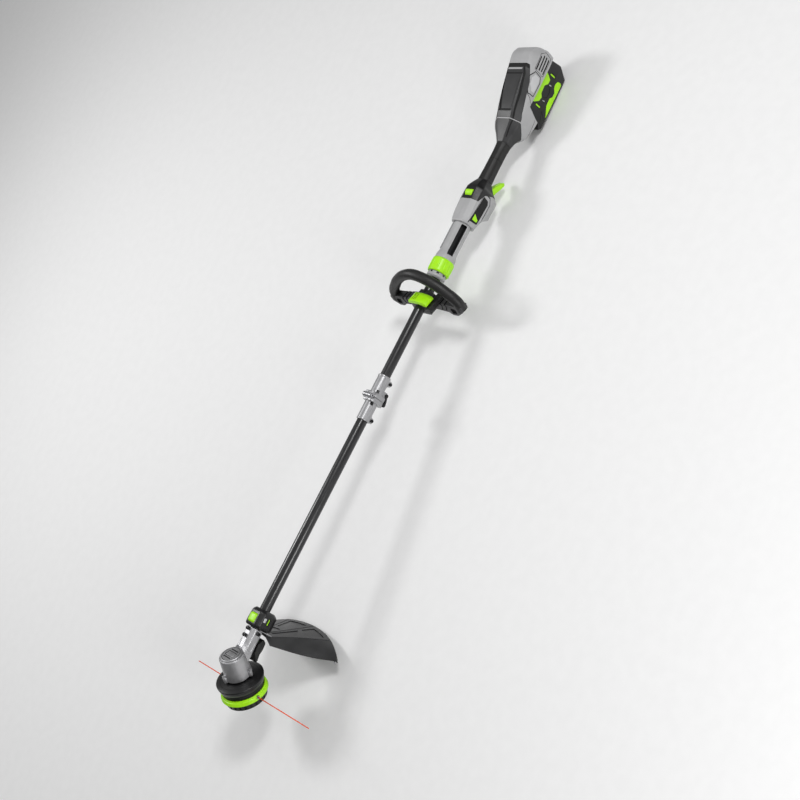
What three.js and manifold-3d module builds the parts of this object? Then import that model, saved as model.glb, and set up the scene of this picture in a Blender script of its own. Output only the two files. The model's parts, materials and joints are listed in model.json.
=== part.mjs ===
// Battery string trimmer with a folding, telescopic shaft, millimetres.
// It is drawn along its shaft: X runs along the shaft towards the battery, Y is sideways and Z is up.
// The head axis meets the shaft axis at the origin. The finished group is then laid down on its guard
// rim and battery, with its origin at the middle of the underside of its box.
import * as THREE from "three";
import { mergeVertices } from "three/addons/utils/BufferGeometryUtils.js";
import Module from "manifold-3d";

const wasm = await Module();
wasm.setup();

// Driving dimensions
const GAP = 0.3;
const TUBE_R = 13;
const TUBE_WALL = 1.5;
const BORE_R = TUBE_R + GAP;
const TUBE_SIDES = 24;
const HEAD_ANGLE = THREE.MathUtils.degToRad(55); // between the shaft and the head axis
const GUARD_RIM_R = 227;
const GUARD_RIM_Z = -57; // along the head axis
const GUARD_HALF_DEG = 39;
const LINE_Z = -66;
const LINE_R = 1.2;
const LINE_NEAR = 244;
const LINE_FAR = 190;
const HINGE_X = 703;
const HINGE_PIN_Z = 21.5;
const HANDLE_X = 985;
const HANDLE_LEAN = Math.atan(0.3);
const GRIP_R = 13.5;
const SLEEVE_R = 22.5;
const SLEEVE_FLARE_R = 26;
const SLEEVE_BORE = TUBE_R + 0.6;
const COLLAR = [1050, 1087];
const REAR = [1426, 1679];
const COVER_X = [1478, 1613];
const SHELL = 3;
const BATTERY_HALF_WIDTH = 39;
const BATTERY_TOP = 22;
const BATTERY_REAR_FOOT = [1660, -50]; // the edge that the battery rests on

// Materials
const finish = (color, roughness, metalness = 0) =>
  new THREE.MeshStandardMaterial({ color, roughness, metalness });
const black = finish(0x1b1b1d, 0.55);
const darkGrey = finish(0x3c3c3f, 0.6);
const grey = finish(0x9fa0a2, 0.5);
const green = finish(0x97dd12, 0.4);
const aluminium = finish(0xc9cacc, 0.35, 0.9);
const castAluminium = finish(0x9b9b9b, 0.5, 0.7);
const steel = finish(0x8d8f92, 0.35, 0.9);
const screwBlack = finish(0x121212, 0.45, 0.4);
const tubeBlack = finish(0x161617, 0.4, 0.1);
const lineRed = finish(0xe2562a, 0.5);
const boardGreen = finish(0x2f5d3a, 0.7);
const rubber = finish(0x232325, 0.85);

const object = new THREE.Group();
const head = new THREE.Group(); // local Z is the head axis, local X points back towards the guard
head.rotation.y = Math.PI / 2 - HEAD_ANGLE;
object.add(head);

function add(group, name, geometry, material) {
  const mesh = new THREE.Mesh(geometry, material);
  mesh.name = name;
  group.add(mesh);
  return mesh;
}

// Solids
function solid(geometry) {
  const bare = geometry.clone();
  bare.deleteAttribute("normal");
  bare.deleteAttribute("uv");
  const merged = mergeVertices(bare, 1e-4);
  const source = { numProp: 3 };
  source.vertProperties = new Float32Array(merged.attributes.position.array);
  source.triVerts = new Uint32Array(merged.index.array);
  return new wasm.Manifold(new wasm.Mesh(source));
}

function surface(made) {
  const mesh = made.getMesh();
  const geometry = new THREE.BufferGeometry();
  geometry.setAttribute("position", new THREE.BufferAttribute(mesh.vertProperties, 3));
  geometry.setIndex(new THREE.BufferAttribute(mesh.triVerts, 1));
  return geometry;
}

const cut = (body, ...tools) => tools.reduce((left, tool) => left.subtract(tool), body);
const join = (body, ...others) => others.reduce((sum, other) => sum.add(other), body);

const outline = (points) => new THREE.Shape(points.map(([x, y]) => new THREE.Vector2(x, y)));
const prismMatrix = {
  x: new THREE.Matrix4().set(0, 0, 1, 0, 1, 0, 0, 0, 0, 1, 0, 0, 0, 0, 0, 1),
  y: new THREE.Matrix4().set(1, 0, 0, 0, 0, 0, -1, 0, 0, 1, 0, 0, 0, 0, 0, 1),
  z: new THREE.Matrix4(),
};

// A flat outline pushed from low to high along one axis. The outline is (y, z), (x, z) or (x, y).
function prism(axis, points, low, high) {
  const depth = high - low;
  const geometry = new THREE.ExtrudeGeometry(outline(points), { depth, bevelEnabled: false });
  geometry.translate(0, 0, axis === "y" ? -high : low);
  return geometry.applyMatrix4(prismMatrix[axis]);
}

function block(x, y, z) {
  const geometry = new THREE.BoxGeometry(x[1] - x[0], y[1] - y[0], z[1] - z[0]);
  return geometry.translate((x[0] + x[1]) / 2, (y[0] + y[1]) / 2, (z[0] + z[1]) / 2);
}

// A closed profile of (radius, height) turned about an axis.
function turned(profile, axis = "z", sides = TUBE_SIDES) {
  const area = profile.reduce((sum, [r, h], i) => {
    const [nextR, nextH] = profile[(i + 1) % profile.length];
    return sum + r * nextH - nextR * h;
  }, 0);
  const ordered = area > 0 ? profile : profile.slice().reverse();
  const points = ordered.map(([r, h]) => new THREE.Vector2(r, h));
  const onAxis = points[0].x === 0 && points[points.length - 1].x === 0;
  if (!onAxis) points.push(points[0].clone());
  const geometry = new THREE.LatheGeometry(points, sides);
  if (axis === "x") geometry.rotateZ(-Math.PI / 2);
  if (axis === "z") geometry.rotateX(Math.PI / 2);
  return geometry;
}

const ring = (outer, inner, low, high, axis, sides) =>
  turned([[inner, low], [outer, low], [outer, high], [inner, high]], axis, sides);
const rod = (radius, low, high, axis, sides = 20) =>
  turned([[0, low], [radius, low], [radius, high], [0, high]], axis, sides);

const areaOf = (points) => THREE.ShapeUtils.area(points);

// A body that changes from one cross-section to the next. Each section is a list of 3-D points, and
// flatten gives a point's place in its section, which is what the end faces are filled by.
function loft(sections, flatten = (point) => new THREE.Vector2(point.y, point.z)) {
  const count = sections[0].length;
  const positions = sections.flat().flatMap((point) => point.toArray());
  const index = [];
  for (let s = 0; s + 1 < sections.length; s += 1) {
    for (let i = 0; i < count; i += 1) {
      const a = s * count + i;
      const b = s * count + ((i + 1) % count);
      index.push(a, b, b + count, a, b + count, a + count);
    }
  }
  for (const [s, atEnd] of [[0, false], [sections.length - 1, true]]) {
    const flat = sections[s].map(flatten);
    for (const face of THREE.ShapeUtils.triangulateShape(flat, [])) {
      const along = areaOf(face.map((i) => flat[i])) * areaOf(flat) > 0;
      const [a, b, c] = along === atEnd ? face : face.slice().reverse();
      index.push(s * count + a, s * count + b, s * count + c);
    }
  }
  const geometry = new THREE.BufferGeometry();
  geometry.setAttribute("position", new THREE.Float32BufferAttribute(positions, 3));
  geometry.setIndex(index);
  return geometry;
}

// An eight-sided section across X: flat top, sloping shoulders, sides and a chamfered underside.
function bodySection([x, width, top, bottom, topFlat, shoulder, bottomFlat, skirt], inset = 0) {
  const side = width - inset;
  const high = top - inset;
  const low = bottom + inset;
  const flat = topFlat - inset * 0.5;
  const base = bottomFlat - inset * 0.5;
  const corners = [
    [-flat, high], [-side, high - shoulder], [-side, low + skirt], [-base, low],
    [base, low], [side, low + skirt], [side, high - shoulder], [flat, high],
  ];
  return corners.map(([y, z]) => new THREE.Vector3(x, y, z));
}
const bodyLoft = (rows, inset = 0) => solid(loft(rows.map((row) => bodySection(row, inset))));

// A tube through points, with a round section.
function bentBar(points, radius, sides, steps) {
  const circle = new THREE.Shape();
  circle.absarc(0, 0, radius, 0, Math.PI * 2);
  const section = new THREE.Shape(circle.getPoints(sides).slice(0, sides));
  const extrudePath = new THREE.CatmullRomCurve3(points);
  return new THREE.ExtrudeGeometry(section, { steps, extrudePath, bevelEnabled: false });
}

// Shafts

function tubes() {
  const inner = TUBE_R - TUBE_WALL;
  add(object, "lower_tube", ring(TUBE_R, inner, 66, 698.4, "x"), tubeBlack);
  add(object, "upper_tube", ring(TUBE_R, inner, 707.6, 1236, "x"), tubeBlack);
}

// Fold hinge: two castings that meet face to face at HINGE_X, with a cross pin on top of the shaft
// and a latch lever under it. The lower half carries the middle knuckle.
const KNUCKLE_R = 6.5;
const KNUCKLE_MID = 5;
const KNUCKLE_OUT = 14;
const PIN_R = 2.8;
const PIN_HEAD_R = 4.6;
const CLAMP_SLEEVE = 60;
const CLAMP_SLEEVE_R = 15.8;
const FLANGE_DEPTH = 12;
const EAR_Z = -22;
const LATCH_PIVOT = [724, -28];
const LATCH_HUB_R = 5;

const onHingePin = (radius, low, high) =>
  solid(rod(radius, low, high, "y", 20).translate(HINGE_X, 0, HINGE_PIN_Z));
const ordered = (a, b) => [Math.min(a, b), Math.max(a, b)];

function hingeHalf(side) {
  const face = HINGE_X + side * GAP / 2;
  const far = HINGE_X + side * CLAMP_SLEEVE;
  const flangeSpan = ordered(face, face + side * FLANGE_DEPTH);
  const sleeve = solid(ring(CLAMP_SLEEVE_R, 9, ...ordered(face, far), "x"));
  const flangeOutline = [
    [-8, -28], [8, -28], [18, -16], [18, 12], [KNUCKLE_OUT, 21], [-KNUCKLE_OUT, 21], [-18, 12], [-18, -16],
  ];
  const flange = solid(prism("x", flangeOutline, ...flangeSpan));
  const earAt = far - side * 10;
  const ear = join(
    solid(rod(7.5, -4, 4, "y", 20).translate(earAt, 0, EAR_Z)),
    solid(block([earAt - 7.5, earAt + 7.5], [-4, 4], [EAR_Z, -12])),
  );
  const hub = solid(rod(LATCH_HUB_R + GAP, -10, 10, "y", 20).translate(LATCH_PIVOT[0], 0, LATCH_PIVOT[1]));
  const latchLug = solid(block([718, 731], [-6, 6], [LATCH_PIVOT[1], -13])).subtract(hub);
  const casting = side > 0 ? join(sleeve, flange, ear, latchLug) : join(sleeve, flange, ear);
  const tubeBore = solid(rod(BORE_R, ...ordered(face + side * 4.3, far + side), "x", TUBE_SIDES));
  const wireWay = solid(rod(9, HINGE_X - 80, HINGE_X + 80, "x", 24));
  const screwHole = solid(rod(2.6, -20, 20, "y", 16).translate(earAt, 0, EAR_Z - 1));
  const slit = solid(block([earAt - 12, earAt + 12], [-0.8, 0.8], [-40, -10]));
  const outer = [KNUCKLE_MID + GAP, KNUCKLE_OUT];
  const mirrored = (row) => row.map((y) => -y).reverse();
  const ownRows = side < 0 ? [[-KNUCKLE_MID, KNUCKLE_MID]] : [mirrored(outer), outer];
  const wide = [KNUCKLE_MID, KNUCKLE_OUT + 6];
  const otherRows = side < 0 ? [mirrored(wide), wide] : [[-KNUCKLE_MID - GAP, KNUCKLE_MID + GAP]];
  const clearance = otherRows.map((row) => onHingePin(KNUCKLE_R + 0.5, ...row));
  const knuckles = ownRows.map((row) => {
    const link = solid(block(flangeSpan, row, [BORE_R + 1, HINGE_PIN_Z]));
    return join(onHingePin(KNUCKLE_R, ...row), link);
  });
  const body = cut(casting, tubeBore, wireWay, ...clearance);
  const overFace = solid(block(ordered(face, face - side * 40), [-60, 60], [-60, 12]));
  const headSides = [[KNUCKLE_OUT, 20], [-20, -KNUCKLE_OUT]];
  const heads = headSides.map((row) => onHingePin(PIN_HEAD_R + 0.5, ...row));
  const holes = [onHingePin(PIN_R + GAP, -40, 40), ...heads, screwHole, slit, overFace, wireWay];
  return { geometry: surface(cut(join(body, ...knuckles), ...holes)), earAt };
}

function foldHinge() {
  const lower = hingeHalf(-1);
  const upper = hingeHalf(1);
  add(object, "fold_hinge_lower", lower.geometry, aluminium);
  add(object, "fold_hinge_upper", upper.geometry, aluminium);
  const half = [[PIN_R, KNUCKLE_OUT + GAP], [PIN_HEAD_R, KNUCKLE_OUT + GAP], [PIN_HEAD_R, 16.5], [0, 16.5]];
  const pin = turned([...half.map(([r, y]) => [r, -y]).reverse(), ...half], "y", 20);
  add(object, "fold_hinge_pin", pin.translate(HINGE_X, 0, HINGE_PIN_Z), steel);
  for (const [name, part] of [["lower", lower], ["upper", upper]]) {
    const profile = [[0, -8], [4, -8], [4, -4.4], [2.2, -4.4], [2.2, 4.4], [3.8, 4.4], [3.8, 7], [0, 7]];
    const screw = turned(profile, "y", 16);
    add(object, name + "_clamp_screw", screw.translate(part.earAt, 0, EAR_Z - 1), screwBlack);
  }
  const [latchX, latchZ] = LATCH_PIVOT;
  const leverSide = [
    [697, -37], [701, -40.5], [713, -38], [latchX, -33], [latchX, -28.5], [712, -32], [698, -32],
  ];
  const lever = join(
    solid(prism("y", leverSide, -6, 6)),
    solid(rod(LATCH_HUB_R, -8.5, 8.5, "y", 20).translate(latchX, 0, latchZ)),
  );
  add(object, "fold_latch_lever", surface(lever), screwBlack);
}

// Loop handle, leaning back, clamped round the upper tube.
const lean = new THREE.Matrix4()
  .makeTranslation(HANDLE_X, 0, 0)
  .multiply(new THREE.Matrix4().makeRotationY(HANDLE_LEAN));

function loopHandle() {
  const arch = [[-114, -20], [-114, -2], [-107, 12], [-94, 26], [-72, 46], [-38, 66], [0, 75]];
  const mirrored = arch.slice(0, -1).reverse().map(([y, z]) => [-y, z]);
  const route = [...arch, ...mirrored].map(([y, z]) => new THREE.Vector3(0, y, z));
  const loop = solid(bentBar(route, GRIP_R, 14, 40).applyMatrix4(lean));
  const baseOutline = [
    [-127, -6], [-124, -22], [-104, -34], [-88, -34], [-76, -26], [-29, -23], [-28, -14.5], [28, -14.5],
    [29, -23], [76, -26], [88, -34], [104, -34], [124, -22], [127, -6], [90, -4], [40, 2], [-40, 2],
    [-90, -4],
  ];
  const base = solid(prism("x", baseOutline, -12, 12).applyMatrix4(lean));
  const saddleOutline = [[-25, -14.5], [25, -14.5], [25, 4], [17, 14.5], [-17, 14.5], [-25, 4]];
  const saddle = solid(prism("x", saddleOutline, -30, 12).applyMatrix4(lean));
  const bore = solid(rod(BORE_R, 850, 1100, "x", TUBE_SIDES));
  const underBore = solid(block([900, 1060], [-BORE_R, BORE_R], [-60, 0]));
  const padOutline = [[-54, -6], [-34, -6], [-36, 7.6], [-52, 7.6]];
  const leverPad = solid(prism("x", padOutline, -36, 12).applyMatrix4(lean));
  const body = cut(join(loop, base, saddle, leverPad), bore, underBore);
  add(object, "loop_handle", surface(body), black);
  const jawOutline = [[-23, -32], [23, -32], [27, -25], [23, -16.2], [-23, -16.2], [-27, -25]];
  const riser = [[-12.6, -20], [12.6, -20], [12.6, -4], [-12.6, -4]];
  const jaw = join(
    solid(prism("x", jawOutline, -26, 12).applyMatrix4(lean)),
    solid(prism("x", riser, -26, 12).applyMatrix4(lean)),
  );
  const lowered = (points) => points.map(([y, z]) => [y, z - GAP]);
  const baseRoom = solid(prism("x", lowered(baseOutline), -12.5, 12.5).applyMatrix4(lean));
  const saddleRoom = solid(prism("x", lowered(saddleOutline), -31, 13).applyMatrix4(lean));
  const tongue = solid(block([900, 1060], [-BORE_R + GAP, BORE_R - GAP], [-60, 0]));
  const opposing = cut(join(baseRoom, saddleRoom), tongue);
  add(object, "handle_clamp_jaw", surface(cut(jaw, bore, opposing)), black);
  const screw = turned([[0, -35], [4.5, -35], [4.5, -32.3], [0, -32.3]], "z", 16);
  add(object, "handle_clamp_screw", screw.applyMatrix4(lean), screwBlack);
  const leverOutline = [
    [22, 15.2], [25, 17], [22, 23], [12, 26], [-14, 26], [-36, 22], [-46, 18], [-49, 13], [-46, 9], [-34, 10],
    [-20, 15.2],
  ];
  const lever = prism("x", leverOutline, -39, -10).applyMatrix4(lean);
  add(object, "handle_release_lever", lever, green);
}

// Telescopic sleeve, its nose ring and the twist collar that locks the upper tube.
function sleeve() {
  const profile = [
    [SLEEVE_BORE, COLLAR[0]], [22, COLLAR[0]], [22, COLLAR[1]], [SLEEVE_FLARE_R, COLLAR[1]],
    [SLEEVE_FLARE_R, 1096], [SLEEVE_R, 1112], [SLEEVE_R, 1188], [21, 1192], [21, 1214], [SLEEVE_BORE, 1214],
  ];
  const body = solid(turned(profile, "x"));
  const slotTilt = THREE.MathUtils.degToRad(30);
  const slots = [-1, 1].map((side) => {
    const slot = block([1100, 1186], [12, 40], [-8, 8]);
    slot.rotateX(side > 0 ? slotTilt : Math.PI - slotTilt);
    return solid(slot);
  });
  add(object, "outer_sleeve", surface(cut(body, ...slots)), grey);
  add(object, "sleeve_nose_ring", ring(24.5, SLEEVE_BORE, 1036, COLLAR[0] - GAP, "x"), grey);
  const collarInner = 22 + GAP;
  const low = COLLAR[0] + GAP;
  const high = COLLAR[1] - GAP;
  const collarProfile = [
    [collarInner, low], [26.5, low], [28.5, low + 3], [28.5, high - 4], [27, high], [collarInner, high],
  ];
  add(object, "twist_collar", turned(collarProfile, "x", 24), green);
}

// Trigger housing: a grey shell in two halves under a black nose that runs back to the grip.
const TRIGGER_ROWS = [
  // x, half width, top, bottom, half top flat, shoulder, half bottom flat, skirt
  [1190, 27, 27, -27, 14, 12, 14, 12],
  [1206, 30, 28, -30, 16, 10, 15, 12],
  [1226, 31, 29, -38, 16, 9, 16, 14],
  [1240, 31, 30, -53, 16, 9, 17, 22],
  [1284, 31, 32, -55, 16, 12, 17, 24],
  [1299, 23, 27, -36, 13, 14, 13, 14],
  [1315.7, 17.5, 18.5, -19, 9, 10, 9, 10],
];
const NOSE_SIDE = [[1251, 60], [1251, 19], [1276, 5], [1287, -18], [1292, -70], [1330, -70], [1330, 60]];
const TRIGGER_PIVOT = [1301, -22];

function triggerHousing() {
  const outer = bodyLoft(TRIGGER_ROWS);
  const innerX = (x) => Math.max(1193, Math.min(1312, x));
  const hollow = bodyLoft(TRIGGER_ROWS.map(([x, ...row]) => [innerX(x), ...row]), SHELL);
  const wall = outer.subtract(hollow);
  const sleeveWay = solid(rod(21 + GAP, 1180, 1215, "x", TUBE_SIDES));
  const ringWay = solid(rod(SLEEVE_R + GAP, 1180, 1192.3, "x", TUBE_SIDES));
  const coreWay = solid(rod(12 + GAP, 1280, 1330, "x", TUBE_SIDES));
  const noseRegion = solid(prism("y", NOSE_SIDE, -60, 60));
  const buttonWay = solid(block([1259.5, 1276.5], [-12.4, 12.4], [15, 60]));
  const triggerWay = solid(block([1286, 1340], [-9, 9], [-60, -12.6]));
  const pinWay = solid(rod(2.5 + GAP, -60, 60, "y", 20).translate(TRIGGER_PIVOT[0], 0, TRIGGER_PIVOT[1]));
  const nose = cut(wall.intersect(noseRegion), buttonWay, triggerWay, coreWay, pinWay);
  add(object, "trigger_nose", surface(nose), black);
  const shell = cut(wall, grown(NOSE_SIDE), sleeveWay, ringWay, triggerWay);
  for (const [name, y] of [["left", [-60, -GAP / 2]], ["right", [GAP / 2, 60]]]) {
    const side = solid(block([1180, 1330], y, [-80, 60]));
    add(object, "trigger_housing_" + name, surface(shell.intersect(side)), grey);
  }
}

function controls() {
  const [pivotX, pivotZ] = TRIGGER_PIVOT;
  const leverSide = [
    [1295, -17], [1307, -17], [1313, -25], [1330, -36], [1348, -50], [1350, -54], [1345, -59],
    [1328, -52], [1312, -44], [1300, -40], [1293, -30],
  ];
  const lever = solid(prism("y", leverSide, -8, 8));
  const eye = solid(rod(2.5 + GAP, -20, 20, "y", 20).translate(pivotX, 0, pivotZ));
  add(object, "throttle_trigger", surface(lever.subtract(eye)), green);
  add(object, "trigger_pin", rod(2.5, -17, 17, "y", 20).translate(pivotX, 0, pivotZ), steel);
  const buttonSide = [[1260, 21], [1276, 21], [1276, 33], [1272, 36], [1265, 34.5], [1260, 30]];
  add(object, "lock_off_button", prism("y", buttonSide, -12, 12), green);
  add(object, "trigger_switch", block([1250, 1274], [-6, 6], [-40, -22]), darkGrey);
}

// Grip: two half shells round a core tube.
const GRIP_ROWS = [
  [1316, 18, 18, -18, 9, 9, 9, 9],
  [1340, 16.5, 17.5, -17.5, 8, 8, 8, 8],
  [1400, 16, 17, -17, 8, 8, 8, 8],
  [1425.7, 18, 18, -18, 9, 9, 9, 9],
];

function grip() {
  const outer = bodyLoft(GRIP_ROWS);
  const bore = solid(rod(12.3, 1300, 1440, "x", TUBE_SIDES));
  const triggerWay = solid(block([1286, 1336], [-9, 9], [-60, -12.6]));
  const wall = cut(outer, bore, triggerWay);
  const seam = -5;
  const upper = wall.intersect(solid(block([1300, 1440], [-40, 40], [seam + GAP / 2, 40])));
  const lower = wall.intersect(solid(block([1300, 1440], [-40, 40], [-40, seam - GAP / 2])));
  add(object, "grip_upper", surface(upper), darkGrey);
  add(object, "grip_lower", surface(lower), black);
  add(object, "grip_core_tube", ring(12, 10, 1282, 1470, "x"), steel);
}

// Rear body: a black flare and top cover over grey housing halves, with the battery under them.
const REAR_ROWS = [
  [REAR[0], 18, 18, -18, 9, 9, 9, 9],
  [1446, 27, 28, -22, 14, 12, 12, 10],
  [1464, 38, 36, -34, 19, 15, 20, 12],
  [1480, 43, 43, -36, 22, 18, 24, 12],
  [1500, 45.5, 53, -36, 24, 24, 28, 10],
  [1540, 47, 66, -36, 26, 28, 30, 10],
  [1580, 47, 77, -36, 28, 24, 30, 10],
  [1613, 46, 83, -36, 30, 18, 30, 10],
  [1640, 45.5, 88, -36, 31, 17, 30, 10],
  [1660, 44, 82, -36, 30, 20, 30, 10],
  [1673, 42, 64, -16, 27, 14, 28, 10],
  [REAR[1], 36, 50, 0, 22, 12, 24, 10],
];
const BATTERY_SIDE = [
  [1530, BATTERY_TOP], [1668, BATTERY_TOP], [1677, -16], BATTERY_REAR_FOOT, [1514, -53], [1505, -45],
  [1516, -36], [1520, -11],
];
const BATTERY_ROOM = [
  [1511, -60], [1511, -36], [1516, -11], [1527, BATTERY_TOP + 0.6], [1700, BATTERY_TOP + 0.6], [1700, -60],
];
const COVER_SIDE = [
  [COVER_X[0], 22], [1500, 32], [1540, 45], [1575, 57], [1594, 67], [COVER_X[1], 77], [COVER_X[1], 110],
  [COVER_X[0], 110],
];
const FLARE_END = COVER_X[0] - GAP;
const FLARE_SIDE = [[1420, -60], [1450, -60], [1453, -16], [FLARE_END, 20], [FLARE_END, 110], [1420, 110]];
const RELEASE_BUTTON = { y: [-13, 13], z: [31, 43] };

// A side outline pushed across the body and widened by the gap in all four directions.
function grown(points) {
  const shifts = [[GAP, 0], [-GAP, 0], [0, GAP], [0, -GAP]];
  const copies = shifts.map(([dx, dz]) => solid(prism("y", points, -80, 80).translate(dx, 0, dz)));
  return join(...copies);
}

function rearBody() {
  const outer = bodyLoft(REAR_ROWS);
  const innerX = (x) => (x < 1440 ? x - 1 : Math.min(x, REAR[1] - 5));
  const innerRows = REAR_ROWS.map(([x, ...row]) => [innerX(x), ...row]);
  const floor = BATTERY_TOP + 4;
  const room = [[1508, -70], [1508, -33], [1513, -9], [1524, floor], [1720, floor], [1720, -70]];
  const hollow = bodyLoft(innerRows, SHELL).subtract(solid(prism("y", room, -80, 80)));
  const batteryRoom = solid(prism("y", BATTERY_ROOM, -80, 80));
  const coreWay = solid(rod(12.3, 1400, 1472, "x", TUBE_SIDES));
  const wall = cut(outer, hollow, batteryRoom, coreWay);
  const flareRegion = solid(prism("y", FLARE_SIDE, -80, 80));
  const coverRegion = solid(prism("y", COVER_SIDE, -80, 80));
  add(object, "neck_flare", surface(wall.intersect(flareRegion)), black);
  add(object, "top_cover", surface(wall.intersect(coverRegion)), black);
  const [buttonLow, buttonHigh] = RELEASE_BUTTON.z;
  const buttonWay = solid(block([1664, 1700], [-13.5, 13.5], [buttonLow - 0.5, buttonHigh + 0.5]));
  const housing = cut(wall, grown(FLARE_SIDE), grown(COVER_SIDE), buttonWay);
  for (const [name, y] of [["left", [-80, -GAP / 2]], ["right", [GAP / 2, 80]]]) {
    const half = housing.intersect(solid(block([1420, 1700], y, [-80, 120])));
    add(object, "rear_housing_" + name, surface(half), grey);
  }
  const button = block([1668, REAR[1] + 1], RELEASE_BUTTON.y, RELEASE_BUTTON.z);
  add(object, "battery_release_button", button, black);
  const battery = prism("y", BATTERY_SIDE, -BATTERY_HALF_WIDTH, BATTERY_HALF_WIDTH);
  add(object, "battery_pack", battery, black);
  add(object, "control_board", block([1545, 1640], [-28, 28], [37, 39]), boardGreen);
  add(object, "battery_terminal_block", block([1560, 1590], [-18, 18], [26.4, 33]), darkGrey);
}

// Motor housing, neck and guard mount.
const intoHead = new THREE.Matrix4().makeRotationY(Math.PI / 2 - HEAD_ANGLE);
const headRod = (radius, low, high, sides) =>
  solid(rod(radius, low, high, "z", sides).applyMatrix4(intoHead));

const LUG_DEGREES = [-5, 115, 235];
const LUG_AT = 33.5;

function motorHousing() {
  const drumProfile = [[0, -22], [33, -22], [32, -8], [30, 33], [28.5, 35], [0, 35]];
  const drum = solid(turned(drumProfile).applyMatrix4(intoHead));
  const neckRows = [
    [6, 24, 26, -14, 14, 8, 14, 8],
    [34, 20, 21, -17, 11, 8, 11, 8],
    [58, 17.5, 18, -17.5, 9, 8, 9, 8],
    [96, 17.5, 18, -17.5, 9, 8, 9, 8],
  ];
  const lugs = LUG_DEGREES.map((degrees) => {
    const lug = rod(5.5, -22, -9, "z", 16).translate(-LUG_AT, 0, 0);
    return solid(lug.rotateZ(THREE.MathUtils.degToRad(degrees)).applyMatrix4(intoHead));
  });
  const cavity = headRod(26.5, -40, 30.5, TUBE_SIDES);
  const socket = solid(rod(BORE_R, 64, 120, "x", TUBE_SIDES));
  const wireWay = solid(rod(7, 20, 70, "x", 20));
  const aboveLid = headRod(28, 35, 70, TUBE_SIDES);
  const body = cut(join(drum, bodyLoft(neckRows), ...lugs), aboveLid, cavity, socket, wireWay);
  add(object, "motor_housing", surface(body), castAluminium);
  const lid = turned([[0, 35.3], [25.5, 35.3], [25.5, 36.8], [24, 38], [0, 38]]);
  add(head, "motor_lid", lid, castAluminium);
  for (const [name, degrees] of [["front", LUG_DEGREES[0]], ["side", LUG_DEGREES[1]]]) {
    const screw = rod(3.6, -24.6, -22.3, "z", 12).translate(-LUG_AT, 0, 0);
    add(head, "motor_screw_" + name, screw.rotateZ(THREE.MathUtils.degToRad(degrees)), screwBlack);
  }
  add(head, "motor_end_plate", ring(29.5, 9.3, -24.4, -22.3, "z"), castAluminium);
  add(head, "motor_stator", ring(26, 12.6, -12, 18, "z"), steel);
  add(head, "bearing_upper", ring(9, 4.3, 19.5, 25, "z", 24), steel);
  add(head, "bearing_lower", ring(9, 4.3, -21, -15.5, "z", 24), steel);
  const screwAt = [["upper", 91, 18.4], ["lower", 74, 18.4]];
  for (const [name, x, z] of screwAt) {
    add(object, "neck_screw_" + name, rod(4.5, z, z + 7, "z", 12).translate(x, 0, 0), screwBlack);
  }
  add(object, "neck_screw_side", rod(4.5, -24, -17.9, "y", 12).translate(88, 0, 2), screwBlack);
}

const MOUNT_X = [98, 143];
const MOUNT_ROWS = [
  [MOUNT_X[0], 22, 21, -24, 15, 10, 18, 10],
  [105, 25, 23.5, -28, 16, 11, 22, 10],
  [134, 25, 22.5, -28, 15, 11, 22, 10],
  [MOUNT_X[1], 20, 18, -22, 12, 10, 16, 10],
];
const BUTTON_X = [106, 129];

function guardMount() {
  const bore = solid(rod(BORE_R, 90, 160, "x", TUBE_SIDES));
  const way = solid(block([BUTTON_X[0] - 0.4, BUTTON_X[1] + 0.4], [-11.9, 11.9], [0, 40]));
  add(object, "guard_mount", surface(cut(bodyLoft(MOUNT_ROWS), bore, way)), black);
  const [capLow, capHigh] = BUTTON_X;
  const cap = [[capLow, 17], [capHigh, 17], [capHigh, 24], [125, 26.5], [110, 26.5], [capLow, 24]];
  add(object, "line_load_button", prism("y", cap, -11.5, 11.5), green);
  const bracket = [[-24, 2], [-42, -10], [-42, -20], [-16, -30], [16, -30], [26, -22], [26, -6], [24, 2]];
  const plate = solid(prism("x", bracket, 96.3, 97.7));
  add(object, "guard_bracket", surface(cut(plate, solid(rod(17.9, 90, 110, "x", 24)))), aluminium);
}

// Guard: a fan-shaped roof behind the head with a skirt round its rim. One strip of the fan is a thin
// closed section that runs from the mount to the rim at one angle.
const GUARD_THICK = 3;
const FAN = [-1, -0.77, -0.54, -0.27, 0, 0.27, 0.54, 0.77, 1];

function guardStrip(fan) {
  const outward = Math.abs(fan);
  const innerAngle = THREE.MathUtils.degToRad(25 * fan);
  const rimAngle = THREE.MathUtils.degToRad(GUARD_HALF_DEG * fan);
  const fold = Math.max(0, outward - 0.54) / 0.46; // 0 on the ridge, 1 along the front edge
  const wing = 20 * Math.min(1, Math.max(0, (fan - 0.6) / 0.2)); // the far side rises beside the mount
  const innerHeight = 34 - 12 * fold + wing;
  const rimHeight = -43 - 8 * fold;
  const innerRadius = 88;
  const at = (along, offset) => {
    const angle = innerAngle + (rimAngle - innerAngle) * along;
    const radius = innerRadius + (GUARD_RIM_R - innerRadius) * along;
    const sag = 14 * fold * Math.sin(Math.PI * along);
    const height = innerHeight + (rimHeight - innerHeight) * along - sag + offset;
    return new THREE.Vector3(radius * Math.cos(angle), radius * Math.sin(angle), height);
  };
  const steps = [0, 0.25, 0.5, 0.75, 1];
  const top = steps.map((along) => at(along, 0));
  const under = steps.slice(0, -1).map((along) => at(along, -GUARD_THICK));
  const rim = (radius, height) =>
    new THREE.Vector3(radius * Math.cos(rimAngle), radius * Math.sin(rimAngle), height);
  const skirt = [rim(GUARD_RIM_R, GUARD_RIM_Z), rim(GUARD_RIM_R - GUARD_THICK, GUARD_RIM_Z)];
  return [...top, ...skirt, rim(GUARD_RIM_R - GUARD_THICK, rimHeight - GUARD_THICK), ...under.reverse()];
}

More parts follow.
